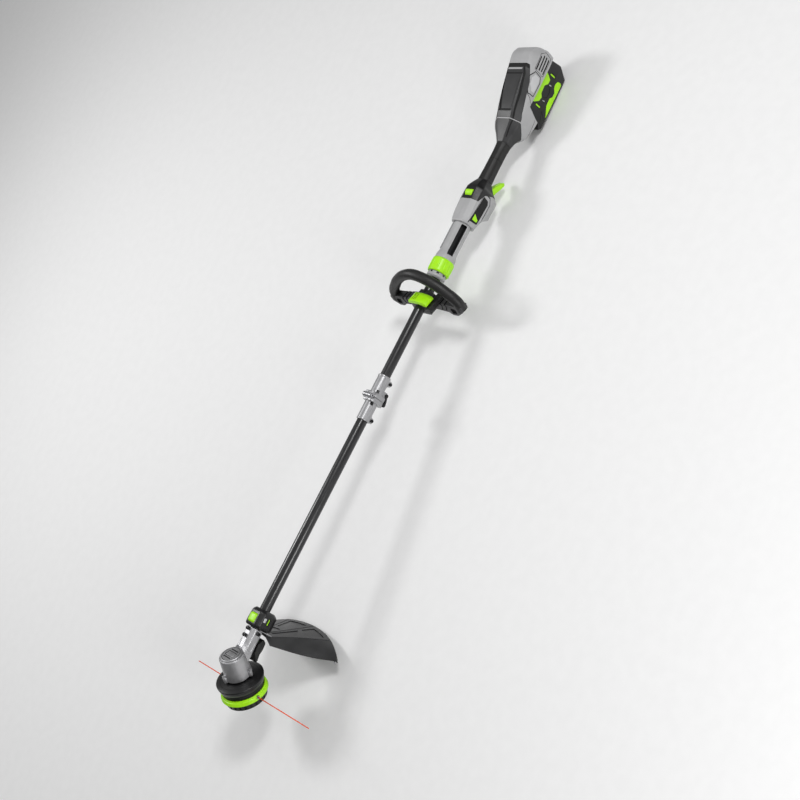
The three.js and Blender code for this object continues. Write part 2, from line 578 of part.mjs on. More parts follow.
function guard() {
  const strips = FAN.map(guardStrip);
  const flatten = (point) => new THREE.Vector2(Math.hypot(point.x, point.y), point.z);
  add(head, "guard_shell", loft(strips, flatten), darkGrey);
  const webSide = [[44, -17], [50, 8], [65.5, 21.5], [84, 24], [84, 12], [72, 2], [60, -4], [50, -14]];
  add(head, "guard_apron", prism("y", webSide, -13, 13), rubber);
  const bladeTurn = -THREE.MathUtils.degToRad(GUARD_HALF_DEG - 7);
  const blade = block([217, 219.5], [-24, 6], [-62.5, -55.5]).rotateZ(bladeTurn);
  add(head, "line_cutter_blade", blade, steel);
}

// Cutting head: everything that spins with the motor shaft, and the spool and knob that slide in it.
function cuttingHead() {
  const rotor = [[0, -48], [4, -48], [4, -14], [12, -14], [12, 18], [4, 18], [4, 26], [0, 26]];
  add(head, "motor_rotor", turned(rotor, "z", 24), steel);
  const cover = [
    [4.3, -26.5], [34, -26.5], [57, -31], [57, -35], [54, -46], [51.5, -46], [53.5, -35], [33, -29.5],
    [4.3, -29.5],
  ];
  add(head, "head_cover", turned(cover), black);
  const base = [
    [6, -46.3], [50, -46.3], [50, -58.7], [50, -72.3], [50, -89], [34, -89], [34, -86], [46.5, -86],
    [46.5, -49.3], [6, -49.3],
  ];
  const eyeletWay = [-1, 1].map((side) => solid(rod(4.3, side > 0 ? 40 : -70, side > 0 ? 70 : -40, "y", 16)
    .translate(0, 0, LINE_Z)));
  add(head, "head_base", surface(cut(solid(turned(base)), ...eyeletWay)), black);
  const greenRing = [[50.3, -59], [53, -59], [57, -70], [57, -72], [50.3, -72]];
  add(head, "line_ring", surface(cut(solid(turned(greenRing)), ...eyeletWay)), green);
  for (const [name, side, reach] of [["near", -1, LINE_NEAR], ["far", 1, LINE_FAR]]) {
    const eyelet = ring(4, 1.6, side > 0 ? 46 : -58, side > 0 ? 58 : -46, "y", 16);
    add(head, "eyelet_" + name, eyelet.translate(0, 0, LINE_Z), aluminium);
    const line = rod(LINE_R, side > 0 ? 47 : -reach, side > 0 ? reach : -47, "y", 8);
    add(head, "cutting_line_" + name, line.translate(0, 0, LINE_Z), lineRed);
  }
  const spool = [
    [15, -54], [44, -54], [44, -56.5], [22, -56.5], [22, -79], [44, -79], [44, -81.5], [15, -81.5],
  ];
  add(head, "line_spool", turned(spool), darkGrey);
  add(head, "bump_knob", turned([[0, -81.8], [31, -81.8], [31, -90], [24, -96], [0, -96]]), black);
}

tubes();
foldHinge();
loopHandle();
sleeve();
triggerHousing();
controls();
grip();
rearBody();
motorHousing();
guardMount();
guard();
cuttingHead();

// Lay the trimmer down: guard rim and battery edge touch the floor, and the origin goes to the middle
// of the underside of its box, without the two free ends of line.
const rimLow = new THREE.Vector3(GUARD_RIM_R, 0, GUARD_RIM_Z).applyMatrix4(intoHead);
const restTilt = Math.atan2(BATTERY_REAR_FOOT[1] - rimLow.z, BATTERY_REAR_FOOT[0] - rimLow.x);
const trimmer = new THREE.Group();
object.rotation.y = restTilt;
trimmer.add(object);
trimmer.updateMatrixWorld(true);
const box = new THREE.Box3();
object.traverse((part) => {
  if (part.isMesh && !part.name.startsWith("cutting_line")) box.expandByObject(part, true);
});
object.position.set(-(box.min.x + box.max.x) / 2, -(box.min.y + box.max.y) / 2, -box.min.z);

export default trimmer;
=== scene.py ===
"""Looks of the string trimmer. Everything is drawn in millimetres along the shaft, X towards the battery,
Y sideways and Z up, and then laid into the row frame in metres."""

import json
import math

import bmesh
import bpy
from mathutils import Matrix, Vector


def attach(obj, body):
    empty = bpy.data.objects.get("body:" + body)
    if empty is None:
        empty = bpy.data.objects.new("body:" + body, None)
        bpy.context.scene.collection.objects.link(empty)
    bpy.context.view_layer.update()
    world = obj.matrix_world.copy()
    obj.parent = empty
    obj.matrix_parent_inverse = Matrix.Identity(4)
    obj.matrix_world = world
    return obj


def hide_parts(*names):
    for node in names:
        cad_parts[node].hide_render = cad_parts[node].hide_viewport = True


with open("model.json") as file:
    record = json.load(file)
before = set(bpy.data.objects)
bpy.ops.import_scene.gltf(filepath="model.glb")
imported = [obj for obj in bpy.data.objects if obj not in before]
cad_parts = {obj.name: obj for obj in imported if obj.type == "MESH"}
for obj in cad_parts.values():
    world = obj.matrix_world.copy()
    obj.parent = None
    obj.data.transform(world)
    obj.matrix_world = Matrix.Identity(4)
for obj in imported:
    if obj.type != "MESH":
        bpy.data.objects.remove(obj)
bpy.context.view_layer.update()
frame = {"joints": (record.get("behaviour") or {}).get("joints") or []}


def shift(x, y, z):
    return Matrix.Translation((x, y, z))


def spin(degrees, axis="Z"):
    return Matrix.Rotation(math.radians(degrees), 4, axis)


# The drawing frame: the head axis meets the shaft axis at its origin.
JOINTS = {joint["name"]: joint for joint in frame["joints"]}
ALONG = Vector(JOINTS["battery_slide"]["axis"])
ACROSS = Vector((0, 1, 0))
UP = ALONG.cross(ACROSS)
START = Vector(JOINTS["head_spin"]["pos_m"])
MILLIMETRE = 0.001
TO_ROW = (
    Matrix.Translation(START)
    @ Matrix((ALONG, ACROSS, UP)).transposed().to_4x4()
    @ Matrix.Scale(MILLIMETRE, 4)
)
HEAD_ANGLE = math.radians(55)
TO_HEAD = Matrix.Rotation(math.pi / 2 - HEAD_ANGLE, 4, "Y")
HANDLE_LEAN = math.atan(0.3)
HANDLE_X = 985
TO_HANDLE = shift(HANDLE_X, 0, 0) @ Matrix.Rotation(HANDLE_LEAN, 4, "Y")
TUBE_R = 13
TUBE_HOLE_R = 13.3
CORE_TUBE_R = 12
CORE_HOLE_R = 12.3
HALF_GAP = 0.15
LINE_Z = -66
FLAT_ENDS = (0, 0)

# Materials


def finish(name, color, roughness, metallic=0.0, grain=900.0, depth=0.06, tint=0.12, coat=0.0, spread=0.1):
    """A moulded, painted or metal surface with fine grain, uneven gloss and faint mottling."""
    material = bpy.data.materials.new(name)
    material.use_nodes = True
    nodes = material.node_tree.nodes
    links = material.node_tree.links
    shader = nodes["Principled BSDF"]
    shader.inputs["Metallic"].default_value = metallic
    shader.inputs["Coat Weight"].default_value = coat
    shader.inputs["Coat Roughness"].default_value = 0.15
    where = nodes.new("ShaderNodeTexCoord")
    fine = nodes.new("ShaderNodeTexNoise")
    fine.inputs["Scale"].default_value = grain
    fine.inputs["Detail"].default_value = 3
    wide = nodes.new("ShaderNodeTexNoise")
    wide.inputs["Scale"].default_value = 35
    wide.inputs["Detail"].default_value = 5
    for noise in (fine, wide):
        links.new(where.outputs["Object"], noise.inputs["Vector"])
    color_ramp = nodes.new("ShaderNodeValToRGB")
    color_ramp.color_ramp.elements[0].position = 0.35
    color_ramp.color_ramp.elements[1].position = 0.65
    color_ramp.color_ramp.elements[0].color = [c * (1 - tint) for c in color] + [1]
    color_ramp.color_ramp.elements[1].color = [min(1, c * (1 + tint)) for c in color] + [1]
    links.new(wide.outputs["Fac"], color_ramp.inputs["Fac"])
    links.new(color_ramp.outputs["Color"], shader.inputs["Base Color"])
    gloss = nodes.new("ShaderNodeMapRange")
    gloss.inputs["To Min"].default_value = max(0.03, roughness - spread)
    gloss.inputs["To Max"].default_value = min(1, roughness + spread)
    links.new(wide.outputs["Fac"], gloss.inputs["Value"])
    links.new(gloss.outputs["Result"], shader.inputs["Roughness"])
    bump = nodes.new("ShaderNodeBump")
    bump.inputs["Strength"].default_value = depth
    bump.inputs["Distance"].default_value = 0.0004
    links.new(fine.outputs["Fac"], bump.inputs["Height"])
    links.new(bump.outputs["Normal"], shader.inputs["Normal"])
    return material


BLACK = finish("black_plastic", (0.006, 0.006, 0.0065), 0.34, grain=1400, depth=0.25)
# This near-black is painted shade in the grooves, slots, holes and sockets cut into the parts, and also the
# own colour of the black trigger badge.
SHADE_AND_BADGE_BLACK = finish("groove_shade_and_badge_black", (0.003, 0.003, 0.003), 0.7, grain=1400)
DARK = finish("dark_grey_plastic", (0.030, 0.030, 0.031), 0.4, grain=1300, depth=0.3)
GREY = finish("grey_plastic", (0.4, 0.4, 0.405), 0.45, grain=1500, depth=0.25, tint=0.04)
PALE = finish("label_plate", (0.56, 0.56, 0.57), 0.35, grain=1500, depth=0.1, tint=0.03)
GREEN = finish("lime_plastic", (0.40, 0.86, 0.001), 0.4, grain=1300, depth=0.15, tint=0.05, coat=0.08)
RUBBER = finish("soft_rubber", (0.009, 0.0088, 0.0085), 0.46, grain=1700, depth=0.5)
BRIGHT = finish("bright_aluminium", (0.4, 0.4, 0.41), 0.4, metallic=0.85, grain=1800, depth=0.06, tint=0.06)
CAST = finish("cast_aluminium", (0.46, 0.46, 0.47), 0.42, metallic=0.85, grain=1300, depth=0.4, tint=0.08)
STEEL = finish("ground_steel", (0.45, 0.45, 0.47), 0.32, metallic=1, grain=1500, depth=0.2)
OXIDE = finish("black_oxide", (0.02, 0.02, 0.021), 0.35, metallic=0.6, grain=1200, depth=0.2)
PAINT = finish("shaft_paint", (0.009, 0.009, 0.01), 0.3, grain=2200, depth=0.12, coat=0.25, spread=0.05)
LINE = finish("nylon_line", (0.86, 0.085, 0.012), 0.4, grain=1500, depth=0.2, tint=0.1)
BOARD = finish("circuit_board", (0.02, 0.12, 0.05), 0.45, grain=500, depth=0.1)

# Solids. A solid is a mesh object in drawing millimetres.


def solid(vertices, faces, material):
    data = bpy.data.meshes.new("solid")
    data.from_pydata([tuple(v) for v in vertices], [], faces)
    data.materials.append(material)
    obj = bpy.data.objects.new("solid", data)
    bpy.context.scene.collection.objects.link(obj)
    shape = bmesh.new()
    shape.from_mesh(data)
    bmesh.ops.remove_doubles(shape, verts=shape.verts, dist=1e-4)
    bmesh.ops.dissolve_degenerate(shape, edges=shape.edges, dist=1e-5)
    bmesh.ops.recalc_face_normals(shape, faces=shape.faces)
    if shape.calc_volume(signed=True) < 0:
        bmesh.ops.reverse_faces(shape, faces=shape.faces)
    shape.to_mesh(data)
    shape.free()
    return obj


def rounded(points, radius, steps=5):
    """The outline with its corners rounded. A radius can be one number or one for each corner."""
    count = len(points)
    made = []
    for i, corner in enumerate(points):
        here = Vector(corner)
        size = radius[i] if isinstance(radius, (list, tuple)) else radius
        if size <= 0:
            made.append(tuple(here))
            continue
        back = Vector(points[i - 1]) - here
        ahead = Vector(points[(i + 1) % count]) - here
        if back.length < 1e-6 or ahead.length < 1e-6:
            continue
        half = back.angle(ahead) / 2
        if half > math.pi / 2 - 0.02 or half < 0.02:
            made.append(tuple(here))
            continue
        reach = min(size / math.tan(half), back.length * 0.48, ahead.length * 0.48)
        begin = here + back.normalized() * reach
        end = here + ahead.normalized() * reach
        for step in range(steps + 1):
            t = step / steps
            made.append(tuple(begin * (1 - t) ** 2 + here * 2 * t * (1 - t) + end * t ** 2))
    return made


AXES = {
    "x": Matrix(((0, 0, 1, 0), (1, 0, 0, 0), (0, 1, 0, 0), (0, 0, 0, 1))),
    "y": Matrix(((1, 0, 0, 0), (0, 0, -1, 0), (0, 1, 0, 0), (0, 0, 0, 1))),
    "z": Matrix.Identity(4),
}


def prism(axis, points, low, high, material, corner=0.0, edge=0.0, matrix=None):
    """A flat outline, (y, z), (x, z) or (x, y), from low to high along one axis, with rounded edges."""
    outline = rounded(points, corner) if corner else [tuple(p) for p in points]
    if axis == "y":
        low, high = -high, -low
    count = len(outline)
    vertices = [(x, y, low) for x, y in outline] + [(x, y, high) for x, y in outline]
    faces = [tuple(range(count - 1, -1, -1)), tuple(range(count, 2 * count))]
    faces += [(i, (i + 1) % count, count + (i + 1) % count, count + i) for i in range(count)]
    obj = solid(vertices, faces, material)
    if edge:
        shape = bmesh.new()
        shape.from_mesh(obj.data)
        rims = [e for e in shape.edges if abs(e.verts[0].co.z - e.verts[1].co.z) < 1e-6]
        bmesh.ops.bevel(
            shape, geom=rims, offset=edge, segments=3, profile=0.5, affect="EDGES", clamp_overlap=True,
        )
        shape.to_mesh(obj.data)
        shape.free()
    obj.data.transform(AXES[axis])
    if matrix:
        obj.data.transform(matrix)
    return obj


def block(x, y, z, material, corner=0.0, edge=0.0, matrix=None):
    outline = [(y[0], z[0]), (y[1], z[0]), (y[1], z[1]), (y[0], z[1])]
    return prism("x", outline, x[0], x[1], material, corner, edge, matrix)


def on_side(side, points, low, high, material, corner=0.0, edge=0.0):
    """An (x, z) outline between two distances from the middle plane, on one side of it."""
    return prism("y", points, *sorted((side * low, side * high)), material, corner, edge)


TURN = {
    "x": Matrix(((0, 0, 1, 0), (1, 0, 0, 0), (0, 1, 0, 0), (0, 0, 0, 1))),
    "y": Matrix(((0, 1, 0, 0), (0, 0, 1, 0), (1, 0, 0, 0), (0, 0, 0, 1))),
    "z": Matrix.Identity(4),
}


def turned(profile, material, axis="z", corner=0.4, sides=96, matrix=None):
    """A closed profile of (radius, height) turned about an axis, with its corners rounded."""
    sizes = [0 if r <= 1e-6 else corner for r, _ in profile]
    outline = rounded(profile, sizes, 3)
    rings = []
    vertices = []
    for radius, height in outline:
        if radius <= 1e-6:
            rings.append([len(vertices)] * sides)
            vertices.append((0, 0, height))
            continue
        rings.append(list(range(len(vertices), len(vertices) + sides)))
        for side in range(sides):
            angle = 2 * math.pi * side / sides
            vertices.append((radius * math.cos(angle), radius * math.sin(angle), height))
    faces = []
    for i, ring in enumerate(rings):
        other = rings[(i + 1) % len(rings)]
        for side in range(sides):
            nxt = (side + 1) % sides
            corners = [ring[side], ring[nxt], other[nxt], other[side]]
            face = [v for k, v in enumerate(corners) if v not in corners[:k]]
            if len(face) > 2:
                faces.append(tuple(face))
    obj = solid(vertices, faces, material)
    obj.data.transform(TURN[axis])
    if matrix:
        obj.data.transform(matrix)
    return obj


def rod(radius, low, high, material, axis="z", corner=0.4, sides=48, matrix=None):
    return turned([(0, low), (radius, low), (radius, high), (0, high)], material, axis, corner, sides, matrix)


def ring(outer, inner, low, high, material, axis="z", corner=0.4, sides=96, matrix=None):
    profile = [(inner, low), (outer, low), (outer, high), (inner, high)]
    return turned(profile, material, axis, corner, sides, matrix)


def combine(obj, other, operation):
    """Boolean of two solids. The second one is used up."""
    modifier = obj.modifiers.new("combine", "BOOLEAN")
    modifier.operation = operation
    modifier.solver = "MANIFOLD"
    modifier.material_mode = "TRANSFER"
    modifier.object = other
    bpy.context.view_layer.update()
    made = bpy.data.meshes.new_from_object(obj.evaluated_get(bpy.context.evaluated_depsgraph_get()))
    obj.modifiers.clear()
    obj.data = made
    bpy.data.objects.remove(other)
    return obj


def cut(obj, *tools):
    for tool in tools:
        combine(obj, tool, "DIFFERENCE")
    return obj


def join(obj, *others):
    for other in others:
        combine(obj, other, "UNION")
    return obj


def common(obj, other):
    return combine(obj, other, "INTERSECT")


def engrave(obj, tool, shell, depth):
    """Cuts a tool into a shell's body, no deeper than asked, and gives the groove floor near-black painted
    shade.
    """
    return cut(obj, cut(tool, shell(depth, SHADE_AND_BADGE_BLACK, FLAT_ENDS)))


def copy(obj):
    other = obj.copy()
    other.data = obj.data.copy()
    bpy.context.scene.collection.objects.link(other)
    return other


def moved(obj, matrix):
    obj.data.transform(matrix)
    return obj


def place(obj, name, body, *nodes, smooth=32):
    """Names a finished solid, lays it into the row frame and lets it ride on its body."""
    obj.name = name
    obj.data.name = name
    obj.data.transform(TO_ROW)
    obj.data.shade_smooth()
    obj.data.set_sharp_from_angle(angle=math.radians(smooth))
    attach(obj, body)
    if nodes:
        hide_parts(*nodes)
    return obj


def eased(rows, step):
    """Rows with more in between, on smooth curves that never overshoot."""
    count = len(rows)
    slopes = []
    for i in range(count):
        row = []
        for k in range(1, len(rows[0])):
            if i in (0, count - 1):
                j = 0 if i == 0 else count - 2
                row.append((rows[j + 1][k] - rows[j][k]) / (rows[j + 1][0] - rows[j][0]))
                continue
            before = (rows[i][k] - rows[i - 1][k]) / (rows[i][0] - rows[i - 1][0])
            after = (rows[i + 1][k] - rows[i][k]) / (rows[i + 1][0] - rows[i][0])
            row.append(0 if before * after <= 0 else 2 * before * after / (before + after))
        slopes.append(row)
    made = []
    for i in range(count - 1):
        x0, x1 = rows[i][0], rows[i + 1][0]
        width = x1 - x0
        steps = max(1, round(width / step))
        for s in range(steps):
            t = s / steps
            a, b = (1 + 2 * t) * (1 - t) ** 2, t * (1 - t) ** 2
            c, d = t * t * (3 - 2 * t), t * t * (t - 1)
            row = [x0 + width * t]
            for here, there, rise, fall in zip(rows[i][1:], rows[i + 1][1:], slopes[i], slopes[i + 1]):
                row.append(a * here + b * width * rise + c * there + d * width * fall)
            made.append(row)
    made.append(list(rows[-1]))
    return made


def section(row, inset, corner):
    """An eight-sided section, from x, half width, top, bottom, top flat, shoulder, bottom flat and skirt."""
    x, width, top, bottom, top_flat, shoulder, bottom_flat, skirt = row
    side, high, low = width - inset, top - inset, bottom + inset
    flat, base = top_flat - inset * 0.5, bottom_flat - inset * 0.5
    points = [
        (-flat, high), (-side, high - shoulder), (-side, low + skirt), (-base, low),
        (base, low), (side, low + skirt), (side, high - shoulder), (flat, high),
    ]
    return [(x, y, z) for y, z in rounded(points, corner, 4)]


def lofted(sections, material):
    """A skin over sections with equal numbers of points, closed at both ends."""
    count = len(sections[0])
    vertices = [point for points in sections for point in points]
    faces = [tuple(range(count)), tuple(range(len(vertices) - 1, len(vertices) - count - 1, -1))]
    for s in range(len(sections) - 1):
        for i in range(count):
            a, b = s * count + i, s * count + (i + 1) % count
            faces.append((a, a + count, b + count, b))
    return solid(vertices, faces, material)


def body(rows, material, inset=0.0, corner=6.0, step=3.0, ends=(1.5, 1.5)):
    """An eight-sided body with soft corners along X, closed by rounded ends."""
    fine = eased(rows, step)

    def rounded_end(row, radius, sign, degrees):
        turn = math.radians(degrees)
        x = row[0] + sign * radius * (1 - math.cos(turn))
        return [x] + row[1:], inset + radius * (1 - math.sin(turn))

    first = [rounded_end(fine[0], ends[0], 1, degrees) for degrees in (0, 30, 60)]
    last = [rounded_end(fine[-1], ends[1], -1, degrees) for degrees in (60, 30, 0)]
    middle = [(row, inset) for row in fine if fine[0][0] + ends[0] < row[0] < fine[-1][0] - ends[1]]
    rows_used = first + middle + last if ends[0] or ends[1] else [(row, inset) for row in fine]
    sections = [section(row, extra, corner) for row, extra in rows_used]
    count = min(len(s) for s in sections)
    return lofted([s[:count] for s in sections], material)


def swept(points, outline, material, sideways=None):
    """An outline carried along points. Its first coordinate lies along `sideways` where that is given."""
    path = [Vector(p) for p in points]
    sections = []
    right = None
    for i, here in enumerate(path):
        ahead = (path[min(i + 1, len(path) - 1)] - path[max(i - 1, 0)]).normalized()
        if right is None:
            right = Vector(sideways) if sideways else ahead.orthogonal()
        right = (right - ahead * right.dot(ahead)).normalized()
        upward = right.cross(ahead)
        sections.append([here + right * u + upward * v for u, v in outline])
    return lofted(sections, material)


def smooth_path(points, count):
    """Points along a smooth curve through the given ones."""
    path = [Vector(p) for p in points]
    path = [2 * path[0] - path[1]] + path + [2 * path[-1] - path[-2]]
    made = []
    spans = len(path) - 3
    for k in range(count + 1):
        u = k / count * spans
        i = min(int(u), spans - 1)
        t = u - i
        a, b, c, d = path[i], path[i + 1], path[i + 2], path[i + 3]
        bend = 2 * a - 5 * b + 4 * c - d
        swing = 3 * b - a - 3 * c + d
        made.append(0.5 * (2 * b + (c - a) * t + bend * t * t + swing * t ** 3))
    return made


def circle(radius, count):
    turns = [2 * math.pi * i / count for i in range(count)]
    return [(radius * math.cos(turn), radius * math.sin(turn)) for turn in turns]


def head_screw(radius, depth, matrix, material=OXIDE):
    """A round screw head with a hexagon socket, its top at z 0."""
    profile = [(0, -depth), (radius, -depth), (radius, 0), (0, 0)]
    head = turned(profile, material, corner=radius * 0.25, sides=40)
    cut(head, prism("z", circle(radius * 0.5, 6), -depth * 0.6, 1, SHADE_AND_BADGE_BLACK))
    return moved(head, matrix)


# Shafts

place(ring(TUBE_R, 11.5, 66, 698.4, PAINT, "x", 0.5, 96), "shaft_lower", "lower_shaft", "lower_tube")
place(ring(TUBE_R, 11.5, 707.6, 1236, PAINT, "x", 0.5, 96), "shaft_upper", "upper_shaft", "upper_tube")

# Fold hinge

HINGE_X = 703
PIN_Z = 21.5
LATCH_PIVOT = shift(724, 0, -28)


def hinge_half(side, name, body_name, node):
    face = HINGE_X + side * HALF_GAP
    far = HINGE_X + side * 60
    span = sorted((face, face + side * 12))
    casting = ring(15.8, 9, *sorted((face, far)), BRIGHT, "x", 0.8)
    lip = ring(16.4, 9, *sorted((far - side * 4, far)), BRIGHT, "x", 1)
    plate = [(-8, -28), (8, -28), (18, -16), (18, 12), (14, 20.5), (-14, 20.5), (-18, 12), (-18, -16)]
    join(casting, lip, prism("x", plate, *span, BRIGHT, [7, 7, 8, 6, 4, 4, 6, 8], 1.6))
    ear_x = far - side * 10
    ear = [(ear_x - 7.5, -12), (ear_x + 7.5, -12), (ear_x + 7.5, -29.5), (ear_x - 7.5, -29.5)]
    join(casting, prism("y", ear, -4, 4, BRIGHT, [0, 0, 7.4, 7.4], 1))
    web = [(ear_x - side * 7, -14), (ear_x - side * 7, -22), (ear_x - side * 24, -14)]
    join(casting, prism("y", web, -2.2, 2.2, BRIGHT, 0, 0.5))
    if side > 0:
        lug = prism("y", [(718, -13), (731, -13), (731, -28), (718, -28)], -6, 6, BRIGHT, 1.5, 0.8)
        hub = moved(rod(5.3, -10, 10, BRIGHT, "y", 0), LATCH_PIVOT)
        join(casting, cut(lug, hub))
    own = [(-5, 5)] if side < 0 else [(-14, -5.3), (5.3, 14)]
    other = [(-20, -5), (5, 20)] if side < 0 else [(-5.3, 5.3)]
    at_pin = shift(HINGE_X, 0, PIN_Z)
    cut(casting, rod(TUBE_HOLE_R, *sorted((face + side * 4.3, far + side)), BRIGHT, "x", 0, 96))
    for row in other:
        cut(casting, rod(7, *row, BRIGHT, "y", 0, 48, at_pin))
    for row in own:
        knuckle = rod(6.5, *row, BRIGHT, "y", 0.8, 64, at_pin)
        join(casting, join(knuckle, block(span, row, (14.3, PIN_Z), BRIGHT, 0, 0)))
    cut(casting, rod(3.1, -40, 40, SHADE_AND_BADGE_BLACK, "y", 0, 32, at_pin))
    for row in ((14, 20), (-20, -14)):
        cut(casting, rod(5.1, *row, BRIGHT, "y", 0, 48, at_pin))
    cut(casting, rod(9, HINGE_X - 80, HINGE_X + 80, SHADE_AND_BADGE_BLACK, "x", 0, 48))
    cut(casting, rod(2.6, -20, 20, SHADE_AND_BADGE_BLACK, "y", 0, 32, shift(ear_x, 0, -23)))
    cut(casting, block((ear_x - 12, ear_x + 12), (-0.8, 0.8), (-40, -10), SHADE_AND_BADGE_BLACK))
    for y in (-1, 1):
        dimple = [(y * 9, 2), (y * 14.5, 4), (y * 15, 12), (y * 10, 13)]
        cut(casting, prism("x", dimple, *sorted((face + side * 9, face + side * 20)), SHADE_AND_BADGE_BLACK, 1.5))
    place(casting, name, body_name, node)


hinge_half(-1, "hinge_casting_lower", "lower_shaft", "fold_hinge_lower")
hinge_half(1, "hinge_casting_upper", "upper_shaft", "fold_hinge_upper")
half = [(0, 16.5), (4.6, 16.5), (4.6, 14.3), (2.8, 14.3)]
pin = turned(half + [(r, -y) for r, y in reversed(half)], STEEL, "y", 0.5, 64)
for y, low, high in ((1, 15.6, 18), (-1, -18, -15.6)):
    cut(pin, rod(2, low, high, SHADE_AND_BADGE_BLACK, "y", 0, 32))
pin.data.transform(shift(HINGE_X, 0, PIN_Z))
place(pin, "hinge_pin", "upper_shaft", "fold_hinge_pin")
for name, body_name, x in (("lower", "lower_shaft", 653), ("upper", "upper_shaft", 753)):
    profile = [(0, -8), (4, -8), (4, -4.4), (2.2, -4.4), (2.2, 4.4), (3.8, 4.4), (3.8, 7), (0, 7)]
    screw = turned(profile, OXIDE, "y", 0.4, 48)
    cut(screw, prism("y", circle(1.9, 6), -9, -5.6, SHADE_AND_BADGE_BLACK))
    screw.data.transform(shift(x, 0, -23))
    place(screw, name + "_ear_screw", body_name, name + "_clamp_screw")
lever_side = [(697, -37), (701, -40.5), (713, -38), (724, -33), (724, -28.5), (712, -32), (698, -32)]
lever = prism("y", lever_side, -6, 6, OXIDE, [2, 3, 4, 2, 2, 4, 2], 1.2)
join(lever, rod(5, -8.5, 8.5, OXIDE, "y", 0.8, 48, LATCH_PIVOT))
for x in (702, 705, 708):
    cut(lever, rod(0.7, -8, 8, SHADE_AND_BADGE_BLACK, "y", 0, 16, shift(x, 0, -40.5 + (x - 701) * 0.21)))
cut(lever, rod(2, 7.6, 9, SHADE_AND_BADGE_BLACK, "y", 0, 24, LATCH_PIVOT))
cut(lever, rod(2, -9, -7.6, SHADE_AND_BADGE_BLACK, "y", 0, 24, LATCH_PIVOT))
place(lever, "hinge_latch", "latch", "fold_latch_lever")

# Loop handle

arch_half = [(-114, -20), (-114, -2), (-107, 12), (-94, 26), (-72, 46), (-38, 66)]
arch = arch_half + [(0, 75)] + [(-y, z) for y, z in reversed(arch_half)]
route = smooth_path([(0, y, z) for y, z in arch], 120)
handle = swept(route, circle(13.4, 40), RUBBER, (1, 0, 0))
base_side = [
    (-127, -6), (-124, -22), (-104, -34), (-88, -34), (-76, -26), (-29, -23), (-28, -14.5),
    (28, -14.5), (29, -23), (76, -26), (88, -34), (104, -34), (124, -22), (127, -6),
    (90, -4), (40, 2), (-40, 2), (-90, -4),
]
base = prism("x", base_side, -12, 12, DARK, 3.5, 2.2)
saddle_side = [(-25, -14.5), (25, -14.5), (25, 4), (17, 14.5), (-17, 14.5), (-25, 4)]
join(handle, base, prism("x", saddle_side, -30, 12, DARK, 3, 1.5))
join(handle, prism("x", [(-54, -6), (-34, -6), (-36, 7.6), (-52, 7.6)], -36, 12, RUBBER, 2, 1))
# The chevron grooves and side pockets are cut in near-black painted shade.
for side in (-1, 1):
    for y in (57, 71):
        chevron = [(y, 4), (y + 4, 4), (y + 8.6, -9), (y + 2.6, -21), (y - 1.4, -21), (y + 4.6, -9)]
        for low, high in ((10.6, 14), (-14, -10.6)):
            cut(handle, prism("x", [(side * u, v) for u, v in chevron], low, high, SHADE_AND_BADGE_BLACK, 0.6))
        cut(handle, block((-14, 14), sorted((side * (y - 0.2), side * (y + 4.2))), (-3.6, 10), SHADE_AND_BADGE_BLACK))
    pocket = [(side * 88, -10), (side * 106, -12), (side * 106, -26), (side * 90, -28)]
    for low, high in ((8, 14), (-14, -8)):
        cut(handle, prism("x", pocket, low, high, SHADE_AND_BADGE_BLACK, 2))
handle.data.transform(TO_HANDLE)
cut(handle, rod(TUBE_HOLE_R, 850, 1100, SHADE_AND_BADGE_BLACK, "x", 0, 96))
cut(handle, block((900, 1060), (-TUBE_HOLE_R, TUBE_HOLE_R), (-60, 0), SHADE_AND_BADGE_BLACK))
place(handle, "handle_loop", "handle", "loop_handle")


def lowered(points, by=0.3):
    return [(y, z - by) for y, z in points]


jaw_side = [(-23, -32), (23, -32), (27, -25), (23, -16.2), (-23, -16.2), (-27, -25)]
jaw = prism("x", jaw_side, -26, 12, BLACK, 3, 1.5)
join(jaw, block((-26, 12), (-12.6, 12.6), (-20, -4), BLACK))
room = prism("x", lowered(base_side), -12.5, 12.5, BLACK)
join(room, prism("x", lowered(saddle_side), -31, 13, BLACK))
for obj in (jaw, room):
    obj.data.transform(TO_HANDLE)
cut(room, block((900, 1060), (-13, 13), (-60, 0), BLACK))
cut(jaw, rod(TUBE_HOLE_R, 850, 1100, BLACK, "x", 0, 96), room)
place(jaw, "handle_jaw", "handle", "handle_clamp_jaw")
screw = head_screw(4.5, 2.7, TO_HANDLE @ shift(0, 0, -35) @ spin(180, "X"))
place(screw, "handle_screw", "handle", "handle_clamp_screw")
lever_side = [
    (15, 15.2), (17, 17), (15, 23), (8, 26), (-14, 26), (-32, 23), (-42, 18.5), (-45, 13),
    (-42, 9.5), (-34, 10), (-20, 15.2),
]
lever = prism("x", lever_side, -39, -10, GREEN, [1, 1.5, 3, 12, 14, 14, 4, 4, 3, 6, 8], 2.4)
for y in (-6, -1, 4):
    cut(lever, block((-34, -15), (y - 0.7, y + 0.7), (25.3, 30), SHADE_AND_BADGE_BLACK, 0.3))
place(moved(lever, TO_HANDLE), "handle_lever_cap", "handle_lever", "handle_release_lever")

# Telescopic sleeve

profile = [
    (13.6, 1050), (22, 1050), (22, 1087), (26, 1087), (26, 1096), (22.5, 1112), (22.5, 1188), (21, 1192),
    (21, 1214), (13.6, 1214),
]
sleeve = turned(profile, GREY, "x", 1.2, 128)
SLOT_TILT = 30
